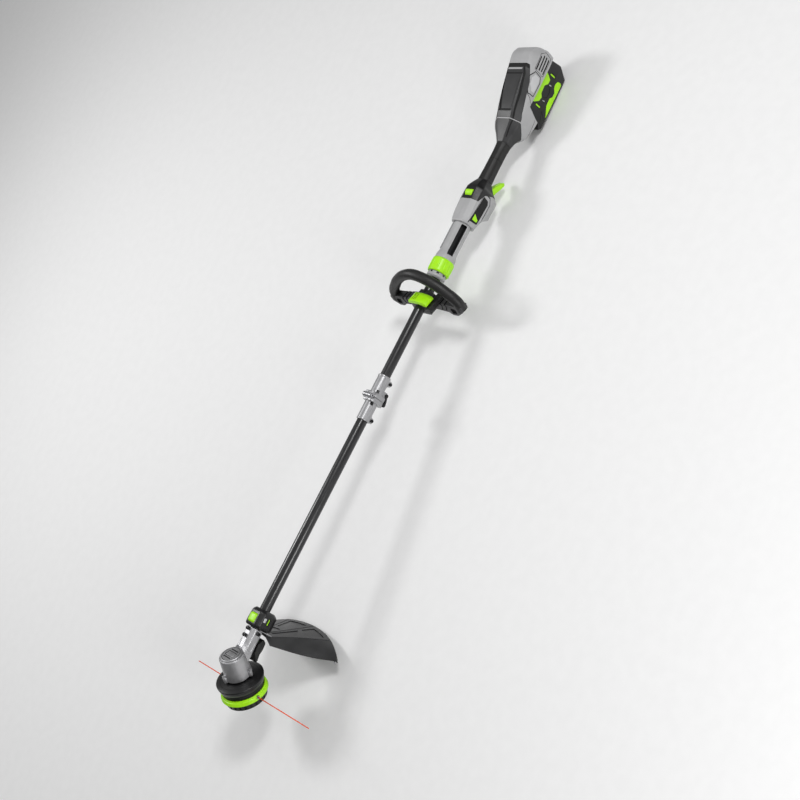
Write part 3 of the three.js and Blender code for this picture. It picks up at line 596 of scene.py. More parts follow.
# The two sleeve slots are cut in near-black painted shade.
for side in (-1, 1):
    turn = SLOT_TILT if side > 0 else 180 - SLOT_TILT
    cut(sleeve, moved(block((1100, 1186), (12, 40), (-8, 8), SHADE_AND_BADGE_BLACK), spin(turn, "X")))
for side in (-1, 1):
    turn = SLOT_TILT if side > 0 else 180 - SLOT_TILT
    rim = prism("z", [(1112, -11), (1189, -11), (1189, 11), (1112, 11)], 20.8, 23.1, GREY, 3, 0.8)
    opening = prism("z", [(1100, -8), (1186, -8), (1186, 8), (1100, 8)], 10, 30, GREY, 2)
    join(sleeve, moved(cut(rim, opening), spin(turn - 90, "X")))
place(sleeve, "sleeve_shell", "rear_unit", "outer_sleeve")
nose_profile = [
    (13.6, 1036), (20.5, 1036), (24.5, 1039), (24.5, 1044), (22.8, 1045), (22.8, 1049.7), (13.6, 1049.7),
]
nose = turned(nose_profile, GREY, "x", 0.8, 128)
for i in range(8):
    cut(nose, moved(block((1045.4, 1051), (20, 30), (-3, 3), SHADE_AND_BADGE_BLACK), spin(45 * i, "X")))
place(nose, "sleeve_nose", "rear_unit", "sleeve_nose_ring")
collar_profile = [
    (22.3, 1050.3), (26.5, 1050.3), (28.5, 1053.5), (28.5, 1082.7), (27, 1086.7), (22.3, 1086.7),
]
collar = turned(collar_profile, GREEN, "x", 1.4, 144)
for i in range(12):
    cut(collar, moved(rod(3.2, 1057, 1080, GREEN, "x", 2.4, 24, shift(0, 30.6, 0)), spin(30 * i, "X")))
place(collar, "collar_ring", "collar", "twist_collar")

# Trigger housing

TRIGGER_ROWS = [
    (1190, 27, 27, -27, 14, 12, 14, 12), (1206, 30, 28, -30, 16, 10, 15, 12),
    (1226, 31, 29, -38, 16, 9, 16, 14), (1240, 31, 30, -53, 16, 9, 17, 22),
    (1284, 31, 32, -55, 16, 12, 17, 24), (1299, 23, 27, -36, 13, 14, 13, 14),
    (1315.7, 17.5, 18.5, -19, 9, 10, 9, 10),
]
SLEEVE_HOLE_R = 22.8
SLEEVE_STUB_HOLE_R = 21.3
TRIGGER_PIVOT = shift(1301, 0, -22)
NOSE_SIDE = [(1251, 60), (1251, 19), (1276, 5), (1287, -18), (1292, -70), (1330, -70), (1330, 60)]


def trigger_shell(inset=0.0, material=GREY, ends=(2.0, 0.4)):
    return body(TRIGGER_ROWS, material, inset, 3.5, 2.5, ends)


def hollowed():
    inner = [(max(1193, min(1312, row[0])),) + row[1:] for row in TRIGGER_ROWS]
    return cut(trigger_shell(), body(inner, SHADE_AND_BADGE_BLACK, 3.0, 3.0, 3.0, (0, 0)))


def skin(high, low, material, shell_of):
    """A thin sheet between two offsets of a shell, in its own finish."""
    return cut(shell_of(-high, material, FLAT_ENDS), shell_of(low, material, FLAT_ENDS))


def side_region(points, material=GREY):
    return prism("y", points, -80, 80, material)


def grown(points, by=0.3):
    region = side_region(points, SHADE_AND_BADGE_BLACK)
    for dx, dz in ((by, 0), (-by, 0), (0, by), (0, -by)):
        shifted = side_region([(x + dx, z + dz) for x, z in points], SHADE_AND_BADGE_BLACK)
        join(region, shifted)
    return region


wall = hollowed()
nose = common(copy(wall), side_region(NOSE_SIDE, BLACK))
nose.data.materials[0] = BLACK
cut(nose, block((1259.5, 1276.5), (-12.4, 12.4), (15, 60), SHADE_AND_BADGE_BLACK))
cut(nose, block((1286, 1340), (-9, 9), (-60, -12.6), SHADE_AND_BADGE_BLACK))
cut(nose, rod(CORE_HOLE_R, 1280, 1330, SHADE_AND_BADGE_BLACK, "x", 0, 64))
cut(nose, rod(2.8, -60, 60, SHADE_AND_BADGE_BLACK, "y", 0, 32, TRIGGER_PIVOT))
place(nose, "trigger_nose_shell", "rear_unit", "trigger_nose")
shell = cut(wall, grown(NOSE_SIDE))
cut(shell, rod(SLEEVE_STUB_HOLE_R, 1180, 1215, SHADE_AND_BADGE_BLACK, "x", 0, 96))
cut(shell, rod(SLEEVE_HOLE_R, 1180, 1192.3, SHADE_AND_BADGE_BLACK, "x", 0, 96))
cut(shell, block((1286, 1340), (-9, 9), (-60, -12.6), SHADE_AND_BADGE_BLACK))
SEAT = [(1272, 7), (1270, -11), (1262, -16), (1203, -13), (1199, 13)]
BADGE = [(1270.6, 6), (1268.8, -10.2), (1261.6, -14.6), (1204.2, -11.8), (1200.6, 11.6)]
STRIPE = [(1206, 8), (1222, 8), (1213, -9), (1207, -9)]
GROOVE_OUTER = [(1283, 8), (1281, -14), (1266, -24), (1197, -22), (1193, 16)]
GROOVE_INNER = [(1280, 7), (1278, -13), (1265, -21.5), (1190, -19), (1190, 13)]
for side in (-1, 1):
    outer = on_side(side, GROOVE_OUTER, 20, 50, GREY, 2)
    inner = on_side(side, GROOVE_INNER, 20, 50, GREY, 2)
    engrave(shell, cut(outer, inner), trigger_shell, 0.9)
    engrave(shell, on_side(side, SEAT, 20, 50, SHADE_AND_BADGE_BLACK, 1.5), trigger_shell, 0.7)
for side, name in ((-1, "left"), (1, "right")):
    half = block((1180, 1330), sorted((side * HALF_GAP, side * 60)), (-80, 60), GREY)
    place(common(copy(shell), half), "trigger_shell_" + name, "rear_unit", "trigger_housing_" + name)
    plate = common(on_side(side, BADGE, 20, 50, SHADE_AND_BADGE_BLACK, 1.5), skin(-0.1, 0.8, SHADE_AND_BADGE_BLACK, trigger_shell))
    place(plate, "trigger_badge_" + name, "rear_unit")
    chip = common(on_side(side, STRIPE, 20, 50, GREEN, 1), skin(0.25, 0.5, GREEN, trigger_shell))
    place(chip, "trigger_stripe_" + name, "rear_unit")
bpy.data.objects.remove(shell)
lever_side = [
    (1295, -17), (1307, -17), (1313, -25), (1330, -36), (1348, -50), (1350, -54), (1345, -59), (1328, -52),
    (1312, -44), (1300, -40), (1293, -30),
]
lever = prism("y", lever_side, -8, 8, GREEN, [2, 3, 8, 20, 3, 3, 3, 20, 12, 8, 4], 2.2)
cut(lever, rod(2.8, -20, 20, SHADE_AND_BADGE_BLACK, "y", 0, 32, TRIGGER_PIVOT))
for x, z in ((1318, -29.4), (1323, -32.6), (1328, -35.8)):
    cut(lever, rod(1, -5, 5, SHADE_AND_BADGE_BLACK, "y", 0.6, 20, shift(x, 0, z)))
place(lever, "trigger_lever", "trigger", "throttle_trigger")
axle = rod(2.5, -17, 17, STEEL, "y", 0.4, 40, TRIGGER_PIVOT)
place(axle, "trigger_axle", "rear_unit", "trigger_pin")
button_side = [(1260, 21), (1276, 21), (1276, 33), (1272, 36), (1265, 34.5), (1260, 30)]
button = prism("y", button_side, -12, 12, GREEN, [0, 0, 3, 3, 4, 3], 2.6)
place(button, "lock_button_cap", "lock_button", "lock_off_button")

# Grip

GRIP_ROWS = [
    (1316, 18, 18, -18, 9, 9, 9, 9), (1340, 16.5, 17.5, -17.5, 8, 8, 8, 8), (1400, 16, 17, -17, 8, 8, 8, 8),
    (1425.7, 18, 18, -18, 9, 9, 9, 9),
]


def grip_body(inset=0.0, material=RUBBER, ends=(0.4, 0.4)):
    return body(GRIP_ROWS, material, inset, 9, 2.5, ends)


wall = grip_body()
cut(wall, rod(CORE_HOLE_R, 1300, 1440, SHADE_AND_BADGE_BLACK, "x", 0, 64), block((1286, 1336), (-9, 9), (-60, -12.6), SHADE_AND_BADGE_BLACK))
engrave(wall, rod(30, 1378, 1379.2, SHADE_AND_BADGE_BLACK, "x", 0, 64), grip_body, 0.7)
for side in (-1, 1):
    engrave(wall, on_side(side, [(1324, 6), (1372, 6), (1372, 7), (1324, 7)], 8, 30, SHADE_AND_BADGE_BLACK), grip_body, 0.6)
for i in range(11):
    x = 1384 + i * 3.2
    engrave(wall, block((x, x + 1.4), (-12, 12), (-30, -8), SHADE_AND_BADGE_BLACK), grip_body, 0.6)
upper = common(copy(wall), block((1300, 1440), (-40, 40), (-4.85, 40), RUBBER))
lower = common(wall, block((1300, 1440), (-40, 40), (-40, -5.15), RUBBER))
place(upper, "grip_shell_upper", "rear_unit", "grip_upper")
place(lower, "grip_shell_lower", "rear_unit", "grip_lower")
place(ring(CORE_TUBE_R, 10, 1282, 1470, STEEL, "x", 0.5, 64), "grip_tube", "rear_unit", "grip_core_tube")

# Rear body

REAR_ROWS = [
    (1426, 18, 18, -18, 9, 9, 9, 9), (1446, 27, 28, -22, 14, 12, 12, 10), (1464, 38, 36, -34, 19, 15, 20, 12),
    (1480, 43, 43, -36, 22, 18, 24, 12), (1500, 45.5, 53, -36, 24, 24, 28, 10),
    (1540, 47, 66, -36, 26, 28, 30, 10), (1580, 47, 77, -36, 28, 24, 30, 10),
    (1613, 46, 83, -36, 30, 18, 30, 10), (1640, 45.5, 88, -36, 31, 17, 30, 10),
    (1660, 44, 82, -36, 30, 20, 30, 10), (1673, 42, 64, -16, 27, 14, 28, 10),
    (1679, 36, 50, 0, 22, 12, 24, 10),
]
COVER_SIDE = [
    (1478, 22), (1500, 32), (1540, 45), (1575, 57), (1594, 67), (1613, 77), (1613, 110), (1478, 110),
]
FLARE_SIDE = [(1420, -60), (1450, -60), (1453, -16), (1477.7, 20), (1477.7, 110), (1420, 110)]


def rear_shell(inset=0.0, material=GREY, ends=(0.4, 3.0)):
    return body(REAR_ROWS, material, inset, 5.0, 3.0, ends)


inner_rows = [((row[0] - 1 if row[0] < 1440 else min(row[0], 1674)),) + row[1:] for row in REAR_ROWS]
hollow = body(inner_rows, SHADE_AND_BADGE_BLACK, 3, 5, 4, (0, 0))
bay = [(1508, -70), (1508, -33), (1513, -9), (1524, 26), (1720, 26), (1720, -70)]
cut(hollow, side_region(bay, SHADE_AND_BADGE_BLACK))
battery_room = [(1511, -60), (1511, -36), (1516, -11), (1527, 22.6), (1700, 22.6), (1700, -60)]
wall = cut(rear_shell(), hollow, side_region(battery_room, SHADE_AND_BADGE_BLACK))
cut(wall, rod(CORE_HOLE_R, 1400, 1472, SHADE_AND_BADGE_BLACK, "x", 0, 64))

flare = common(copy(wall), side_region(FLARE_SIDE))
flare.data.materials[0] = DARK
for side in (-1, 1):
    crease = [(1438, side * 15), (1479, side * 26.5), (1479, side * 29.5), (1438, side * 17)]
    engrave(flare, prism("z", crease, 10, 60, SHADE_AND_BADGE_BLACK), rear_shell, 0.9)
place(flare, "rear_flare", "rear_unit", "neck_flare")

cover = common(copy(wall), side_region(COVER_SIDE))
cover.data.materials[0] = DARK


# The cover grooves get near-black painted shade on their floors, standing in for the shade along them.
def top_groove(points, depth):
    engrave(cover, prism("z", points, 0, 120, SHADE_AND_BADGE_BLACK), rear_shell, depth)


top_groove([(1603.5, 40), (1613.5, 40), (1613.5, -40), (1603.5, -40)], 1.6)
top_groove([
    (1499, 12), (1544, 21), (1582, 26), (1596, 26), (1606, 23), (1606, 30), (1598, 33), (1580, 33),
    (1543, 27), (1495, 18),
], 2.0)
top_groove([(1495, 21), (1499.5, 21), (1499.5, -21), (1495, -21)], 2.0)
top_groove([
    (1478, -26.5), (1540, -29.5), (1588, -29), (1606, -25), (1606, -29), (1588, -33), (1540, -33),
    (1478, -29.5),
], 1.6)
top_groove([(1585, 29), (1588, 29), (1588, -28), (1585, -27)], 1.0)
place(cover, "rear_cover", "rear_unit", "top_cover")
bar = prism("z", [(1597, 26), (1601.5, 26), (1601.5, -21), (1597, -21)], 40, 120, GREY, 1.2)
place(common(bar, skin(0.35, 0.4, GREY, rear_shell)), "rear_cover_bar", "rear_unit")
split = block((1477.8, 1479.6), (-46, 46), (20, 70), GREY)
place(common(split, skin(0.3, 0.5, GREY, rear_shell)), "rear_cover_split", "rear_unit")
pad = prism("z", [(1502, 10), (1546, 19), (1582, 24), (1582, -25), (1502, -20)], 0, 120, DARK, 5)
place(common(pad, skin(0.7, 0.4, DARK, rear_shell)), "rear_cover_pad", "rear_unit")

release_way = block((1664, 1700), (-13.5, 13.5), (30.5, 43.5), SHADE_AND_BADGE_BLACK)
housing = cut(wall, grown(FLARE_SIDE), grown(COVER_SIDE), release_way)


def slot_outline(x0, z0, x1, z1, width):
    """The four corners of a straight slot from one point to another."""
    along = Vector((x1 - x0, z1 - z0)).normalized()
    out = Vector((-along.y, along.x)) * width / 2
    begin, end = Vector((x0, z0)), Vector((x1, z1))
    return [begin + out, end + out, end - out, begin - out]


VENTS = [(1611, 60, 1648, 63), (1614, 50.5, 1656, 53.5), (1617, 41.5, 1658, 44.5), (1614.5, 33, 1657, 35)]
PANEL = [(1606, 60), (1606, 35), (1592, 28), (1551, 28), (1549, 47), (1568, 60), (1590, 66)]
PANEL_INNER = [(1604, 58.5), (1604, 36), (1591, 30), (1553, 30), (1551.4, 46.4), (1569, 58), (1590, 63.8)]
LABEL = [(1600, 55), (1600, 38), (1589, 33), (1560, 33), (1559, 44), (1572, 54), (1588, 59)]
VENT_FRAME = [(1609, 65), (1609, 28.5), (1664, 29.5), (1666, 54), (1652, 68)]
VENT_FIELD = [(1610.2, 64), (1610.2, 29.7), (1662.8, 30.7), (1664.8, 53.6), (1651.4, 66.8)]
# The vent slots, vent frame, panel outline and seams are cut in near-black painted shade.
for side in (-1, 1):
    frame_cut = cut(on_side(side, VENT_FRAME, 30, 60, GREY, 4), on_side(side, VENT_FIELD, 30, 60, GREY, 3.4))
    frame_cut.data.materials[0] = SHADE_AND_BADGE_BLACK
    engrave(housing, frame_cut, rear_shell, 0.8)
    for vent in VENTS:
        engrave(housing, on_side(side, slot_outline(*vent, 4.2), 30, 60, SHADE_AND_BADGE_BLACK, 1.4), rear_shell, 2.9)
    outer = on_side(side, PANEL, 30, 60, SHADE_AND_BADGE_BLACK, 3)
    inner = on_side(side, PANEL_INNER, 30, 60, SHADE_AND_BADGE_BLACK, 2.6)
    cut(housing, cut(outer, inner, rear_shell(1.2, SHADE_AND_BADGE_BLACK, FLAT_ENDS)))
    seam = [(1548, 47), (1549.6, 47.6), (1534, 22), (1532.4, 22)]
    engrave(housing, on_side(side, seam, 30, 60, SHADE_AND_BADGE_BLACK), rear_shell, 0.9)
    engrave(housing, on_side(side, slot_outline(1458, -24, 1512, -14, 1.0), 30, 60, SHADE_AND_BADGE_BLACK), rear_shell, 0.8)
for side, name in ((-1, "left"), (1, "right")):
    half = block((1420, 1700), sorted((side * HALF_GAP, side * 80)), (-80, 120), GREY)
    place(common(copy(housing), half), "rear_shell_" + name, "rear_unit", "rear_housing_" + name)
    label = common(on_side(side, LABEL, 30, 60, PALE, 2.5), skin(0.4, 0.5, PALE, rear_shell))
    place(label, "rear_label_" + name, "rear_unit")
bpy.data.objects.remove(housing)

release = block((1668, 1680), (-13, 13), (31, 43), BLACK, 2, 1.4)
for z in (34.5, 37, 39.5):
    cut(release, block((1679.2, 1682), (-9, 9), (z - 0.5, z + 0.5), SHADE_AND_BADGE_BLACK))
place(release, "release_button_cap", "release_button", "battery_release_button")

# Battery

BATTERY_SIDE = [
    (1530, 22), (1668, 22), (1677, -16), (1660, -50), (1514, -53), (1505, -45), (1516, -36), (1520, -11),
]
BOSS = [(1608, 3), (1604, 8), (1586, 6), (1580, 0), (1580, -14), (1586, -20), (1603, -20), (1610, -12)]
BOSS_RIM = [(x + (x - 1595) * 0.08, z + (z + 6) * 0.1) for x, z in BOSS]
UPPER_STRIP = [
    (1635, 18), (1548, 18), (1551, 11), (1562, -2), (1575, -5), (1582, 2.5), (1604, 4.5), (1614, -4),
    (1626, -4), (1632, 8),
]
LOWER_BAND = [
    (1643, -40), (1640, -46), (1542, -48.5), (1552, -43), (1569, -32), (1590, -30.5), (1598, -37),
    (1611, -37), (1619, -29), (1629, -26), (1640, -30),
]
SLITS = ((1640, -6), (1551, -7))
battery = prism("y", BATTERY_SIDE, -39, 39, BLACK, [3, 5, 7, 5, 3, 3, 4, 6], 3.2)
for side in (-1, 1):
    cut(battery, cut(on_side(side, BOSS_RIM, 38.2, 45, SHADE_AND_BADGE_BLACK, 2), on_side(side, BOSS, 38.2, 45, SHADE_AND_BADGE_BLACK, 2)))
    for x, z in SLITS:
        cut(battery, on_side(side, slot_outline(x - 1, z + 11, x + 1, z - 11, 8), 38.2, 45, SHADE_AND_BADGE_BLACK, 2.5))
    for x, z in ((1616, -13), (1572, -16)):
        cut(battery, on_side(side, slot_outline(x - 1, z + 4, x + 1, z - 4, 2.4), 38.2, 45, PALE, 1))
    for x, z in ((1519, -40), (1534, -51)):
        cut(battery, on_side(side, slot_outline(x, z, 1548, -26, 1.0), 38.2, 45, SHADE_AND_BADGE_BLACK))
for y in (-24, -8, 8, 24):
    cut(battery, block((1548, 1650), (y - 1, y + 1), (-60, -50.2), SHADE_AND_BADGE_BLACK))
for y in (-16, 0, 16):
    cut(battery, block((1556, 1600), (y - 3, y + 3), (19, 30), SHADE_AND_BADGE_BLACK, 1))
place(battery, "battery_case", "battery", "battery_pack")
for side, name in ((-1, "left"), (1, "right")):
    strip = on_side(side, UPPER_STRIP, 38.4, 39.25, GREEN, [1, 1, 3, 3, 3, 3, 3, 3, 3, 4], 0.25)
    place(strip, "battery_strip_" + name, "battery")
    low = on_side(side, LOWER_BAND, 38.4, 39.25, GREEN, [2, 1, 1, 3, 3, 3, 3, 3, 3, 3, 3], 0.25)
    place(low, "battery_band_" + name, "battery")
    for k, (x, z) in enumerate(SLITS):
        slit = on_side(side, slot_outline(x - 0.8, z + 8.5, x + 0.8, z - 8.5, 3.4), 37.6, 38.8, GREEN, 1.2)
        place(slit, f"battery_slit_{k}_{name}", "battery")
board = block((1545, 1640), (-28, 28), (37, 39), BOARD, 0, 0.3)
for x, y in ((1560, -12), (1580, 8), (1605, -6), (1622, 14)):
    join(board, rod(3.4, 38.5, 46, BOARD, "z", 0.6, 24, shift(x, y, 0)))
place(board, "controller_board", "rear_unit", "control_board")
terminals = block((1560, 1590), (-18, 18), (26.4, 33), DARK, 1, 0.6)
for y in (-12, 0, 12):
    cut(terminals, block((1564, 1592), (y - 1.5, y + 1.5), (25, 30), SHADE_AND_BADGE_BLACK))
place(terminals, "terminal_block", "rear_unit", "battery_terminal_block")

# Motor housing and neck

drum_profile = [(0, -22), (33, -22), (32, -8), (30, 33), (28.5, 35), (0, 35)]
drum = turned(drum_profile, CAST, corner=1.6, sides=144, matrix=TO_HEAD)
LUG_DEGREES = (-5, 115, 235)
LUG_AT = 33.5
NECK_ROWS = [
    (6, 24, 26, -14, 14, 8, 14, 8), (34, 20, 21, -17, 11, 8, 11, 8), (58, 17.5, 18, -17.5, 9, 8, 9, 8),
    (96, 17.5, 18, -17.5, 9, 8, 9, 8),
]
neck = body(NECK_ROWS, CAST, 0, 5, 2.5, (0.4, 1.0))
join(drum, neck)
for degrees in LUG_DEGREES:
    place_lug = TO_HEAD @ spin(degrees) @ shift(-LUG_AT, 0, 0)
    join(drum, rod(5.5, -22, -9, CAST, corner=1.2, sides=40, matrix=place_lug))
    join(drum, block((-5, 8), (-3, 3), (-20, -3), CAST, 0, 0, place_lug))
cut(drum, rod(28, 35, 70, CAST, corner=0, sides=96, matrix=TO_HEAD))
cut(drum, rod(26.5, -40, 30.5, SHADE_AND_BADGE_BLACK, corner=0, sides=96, matrix=TO_HEAD))
cut(drum, rod(TUBE_HOLE_R, 64, 120, SHADE_AND_BADGE_BLACK, "x", 0, 96), rod(7, 20, 70, SHADE_AND_BADGE_BLACK, "x", 0, 32))
for side in (-1, 1):
    dish = [(side * 15.6, 5), (side * 20, 8), (side * 20, -9), (side * 15.6, -6)]
    cut(drum, prism("x", dish, 44, 66, CAST, 1.5))
cut(drum, prism("x", [(-6, 16.6), (6, 16.6), (7, 24), (-7, 24)], 40, 66, CAST, 1))
place(drum, "motor_case", "lower_shaft", "motor_housing")
lid = turned([(0, 35.3), (25.5, 35.3), (25.5, 36.8), (24, 38), (0, 38)], CAST, corner=0.8, sides=128)
cut(lid, turned([(21.4, 37.0), (22.4, 37.0), (22.4, 40), (21.4, 40)], SHADE_AND_BADGE_BLACK, corner=0, sides=96))
cut(lid, block((-7.5, 7.5), (-14.5, 14.5), (37.0, 40), SHADE_AND_BADGE_BLACK, 1.5, 0))
lid_plate = block((-5.9, 5.9), (-12.9, 12.9), (36.4, 38), CAST, 1.5, 0.3)
join(lid, lid_plate)
for x in (-13.5, 11):
    cut(lid, block((x, x + 2.8), (-13, 13), (37.0, 40), SHADE_AND_BADGE_BLACK, 0, 0))
place(moved(lid, TO_HEAD), "motor_cap", "lower_shaft", "motor_lid")
for name, degrees in (("front", LUG_DEGREES[0]), ("side", LUG_DEGREES[1])):
    at = TO_HEAD @ spin(degrees) @ shift(-LUG_AT, 0, -24.6) @ spin(180, "X")
    place(head_screw(3.6, 2.3, at), "drum_screw_" + name, "lower_shaft", "motor_screw_" + name)
plate = ring(29.5, 9.3, -24.4, -22.3, CAST, corner=0.5, matrix=TO_HEAD)
place(plate, "motor_plate", "lower_shaft", "motor_end_plate")
stator = ring(26, 12.6, -12, 18, STEEL, corner=0.5)
for i in range(9):
    cut(stator, moved(block((12, 20), (-1, 1), (-13, 19), SHADE_AND_BADGE_BLACK), spin(40 * i)))
place(moved(stator, TO_HEAD), "motor_winding", "lower_shaft", "motor_stator")
for name, low, high in (("upper", 19.5, 25), ("lower", -21, -15.5)):
    race = ring(9, 4.3, low, high, STEEL, corner=0.4)
    for z in (low, high):
        cut(race, ring(7.6, 6, z - 0.5, z + 0.5, SHADE_AND_BADGE_BLACK, corner=0))
    place(moved(race, TO_HEAD), "race_" + name, "lower_shaft", "bearing_" + name)
for name, x in (("upper", 91), ("lower", 74)):
    bolt = head_screw(4.5, 7, shift(x, 0, 25.4))
    place(bolt, "neck_bolt_" + name, "lower_shaft", "neck_screw_" + name)
bolt = head_screw(4.5, 6.1, shift(88, -24, 2) @ spin(90, "X"))
place(bolt, "neck_bolt_side", "lower_shaft", "neck_screw_side")

# Guard mount

MOUNT_ROWS = [
    (98, 22, 21, -24, 15, 10, 18, 10), (105, 25, 23.5, -28, 16, 11, 22, 10),
    (134, 25, 22.5, -28, 15, 11, 22, 10), (143, 20, 18, -22, 12, 10, 16, 10),
]


def mount_shell(inset=0.0, material=BLACK, ends=(1.5, 1.5)):
    return body(MOUNT_ROWS, material, inset, 4, 2, ends)


mount = cut(mount_shell(), rod(TUBE_HOLE_R, 90, 160, SHADE_AND_BADGE_BLACK, "x", 0, 96))
cut(mount, block((105.6, 129.4), (-11.9, 11.9), (0, 40), SHADE_AND_BADGE_BLACK))
for side in (-1, 1):
    reach = sorted((side * 20, side * 40))
    engrave(mount, block((112, 130), reach, (-9, -2), SHADE_AND_BADGE_BLACK, 1.5), mount_shell, 1.2)
    engrave(mount, block((116, 128), reach, (2, 11), SHADE_AND_BADGE_BLACK, 1), mount_shell, 0.5)
place(mount, "mount_shell", "lower_shaft", "guard_mount")
for side, name in ((-1, "near"), (1, "far")):
    reach = sorted((side * 18, side * 40))
    slit = block((114, 128), reach, (-6.6, -4.4), GREEN, 0.8)
    place(common(slit, skin(-0.5, 1.4, GREEN, mount_shell)), "mount_slit_" + name, "lower_shaft")
    tag = block((117, 127), reach, (3, 10), PALE, 0.8)
    place(common(tag, skin(0.1, 0.8, PALE, mount_shell)), "mount_tag_" + name, "lower_shaft")
cap = [(106, 17), (129, 17), (129, 24), (125, 26.5), (110, 26.5), (106, 24)]
cap = prism("y", cap, -11.5, 11.5, GREEN, [0, 0, 4, 4, 4, 4], 3)
place(cap, "load_button_cap", "load_button", "line_load_button")
bracket = [(-24, 2), (-42, -10), (-42, -20), (-16, -30), (16, -30), (26, -22), (26, -6), (24, 2)]
bracket = prism("x", bracket, 96.3, 97.7, BRIGHT, [2, 4, 4, 6, 6, 4, 4, 2], 0.4)
cut(bracket, rod(17.9, 90, 110, SHADE_AND_BADGE_BLACK, "x", 0, 64))
place(bracket, "mount_bracket", "lower_shaft", "guard_bracket")

# Guard

HUB_R = 88
RIM_R = 227
RIM_LOW = -57
THICK = 3
ROOF_STEPS = 24
FAN_STEPS = 64


def guard_point(fan, along, offset):
    outward = abs(fan)
    inner_angle = math.radians(25 * fan)
    rim_angle = math.radians(39 * fan)
    fold = max(0, outward - 0.54) / 0.46
    wing = 20 * min(1, max(0, (fan - 0.6) / 0.2))
    inner_height, rim_height = 34 - 12 * fold + wing, -43 - 8 * fold
    angle = inner_angle + (rim_angle - inner_angle) * along
    radius = HUB_R + (RIM_R - HUB_R) * along
    sag = 14 * fold * math.sin(math.pi * along)
    height = inner_height + (rim_height - inner_height) * along - sag + offset
    return Vector((radius * math.cos(angle), radius * math.sin(angle), height))


def guard_strip(fan, lift=0.0):
    steps = [i / ROOF_STEPS for i in range(ROOF_STEPS + 1)]
    top = [guard_point(fan, t, lift) for t in steps]
    under = [guard_point(fan, t, -THICK) for t in steps[:-1]]
    rim_angle = math.radians(39 * fan)
    edge = guard_point(fan, 1, 0).z

    def rim(radius, height):
        return Vector((radius * math.cos(rim_angle), radius * math.sin(rim_angle), height))

    lip = [rim(RIM_R, RIM_LOW + 1), rim(RIM_R - 1, RIM_LOW), rim(RIM_R - 2, RIM_LOW)]
    lip.append(rim(RIM_R - THICK, RIM_LOW + 1))
    return top + lip + [rim(RIM_R - THICK, edge - THICK)] + list(reversed(under))


fans = [-1 + 2 * i / FAN_STEPS for i in range(FAN_STEPS + 1)]
vertices = []
faces = []
for fan in fans:
    vertices += guard_strip(fan)
count = len(vertices) // len(fans)
for s in range(len(fans) - 1):
    for i in range(count):
        a, b = s * count + i, s * count + (i + 1) % count
        faces.append((a, b, b + count, a + count))
for s in (0, len(fans) - 1):
    start = s * count
    for i in range(ROOF_STEPS - 1):
        j = count - 1 - i
        faces.append((start + i, start + i + 1, start + j - 1, start + j))
    edge = start + ROOF_STEPS
    last_under = start + count - ROOF_STEPS
    faces.append((edge - 1, edge, last_under - 1, last_under))
    faces.append((edge, edge + 1, edge + 2, edge + 3, edge + 4, last_under - 1))
guard = solid(vertices, faces, DARK)


def ridge(points, width, height):
    """A raised rib along a run of places on the guard's roof."""
    path = [guard_point(fan, along, -0.6) for fan, along in points]
    outline = rounded([(-width / 2, 0), (width / 2, 0), (width / 4, height), (-width / 4, height)], 0.6, 3)
    return swept(smooth_path(path, 40), outline, DARK, (0, 0, 1))


def roof_patch(corners, low, high, material, count=14):
    """A slab that follows the roof between four places on it."""
    grid = []
    for i in range(count + 1):
        for j in range(count + 1):
            u, v = i / count, j / count
            first, second, third, fourth = [Vector(corner) for corner in corners]
            grid.append(first.lerp(second, u).lerp(fourth.lerp(third, u), v))
    top = [guard_point(fan, along, high) for fan, along in grid]
    bottom = [guard_point(fan, along, low) for fan, along in grid]
    width = count + 1
    size = width * width
    quads = []
    for i in range(count):
        for j in range(count):
            a, b, c, d = i * width + j, (i + 1) * width + j, (i + 1) * width + j + 1, i * width + j + 1
            quads += [(a, b, c, d), (size + d, size + c, size + b, size + a)]
    edge = [j for j in range(width)] + [i * width + count for i in range(1, width)]
    edge += [count * width + j for j in range(count - 1, -1, -1)]
    edge += [i * width for i in range(count - 1, 0, -1)]
    for k, a in enumerate(edge):
        b = edge[(k + 1) % len(edge)]
        quads.append((a, b, size + b, size + a))
    return solid(top + bottom, quads, material)


for corners in (
    [(-0.12, 0.16), (-0.12, 0.62), (-0.42, 0.5), (-0.46, 0.2)],
    [(0.1, 0.5), (0.08, 0.9), (0.46, 0.9), (0.44, 0.5)],
    [(-0.1, 0.7), (-0.1, 0.92), (-0.46, 0.92), (-0.4, 0.64)],
    [(0.12, 0.1), (0.12, 0.4), (0.42, 0.4), (0.46, 0.14)],
):
    cut(guard, roof_patch(corners, -1.5, 3, BLACK))
place(moved(guard, TO_HEAD), "guard_roof", "lower_shaft", "guard_shell")
for name, points in (
    ("near", [(-0.54, 0.02), (-0.54, 0.3), (-0.54, 0.6), (-0.54, 0.97)]),
    ("far", [(0.54, 0.02), (0.54, 0.3), (0.54, 0.6), (0.54, 0.97)]),
    ("middle", [(0.0, 0.02), (-0.01, 0.3), (-0.01, 0.6), (0.0, 0.97)]),
):
    rib = ridge(points, 3.2, 1.4)
    place(moved(rib, TO_HEAD), "guard_rib_" + name, "lower_shaft")
apron_side = [(44, -17), (50, 8), (65.5, 21.5), (84, 24), (84, 12), (72, 2), (60, -4), (50, -14)]
apron = prism("y", apron_side, -13, 13, RUBBER, [2, 4, 3, 3, 4, 6, 6, 3], 1.8)
for y in (-6.5, 0, 6.5):
    cut(apron, prism("y", [(44, -20), (62, -8), (62, 8), (44, 4)], y - 0.6, y + 0.6, SHADE_AND_BADGE_BLACK))
place(moved(apron, TO_HEAD), "guard_apron_flap", "lower_shaft", "guard_apron")
blade = block((217, 219.5), (-24, 6), (-62.5, -55.5), STEEL, 0, 0.2)
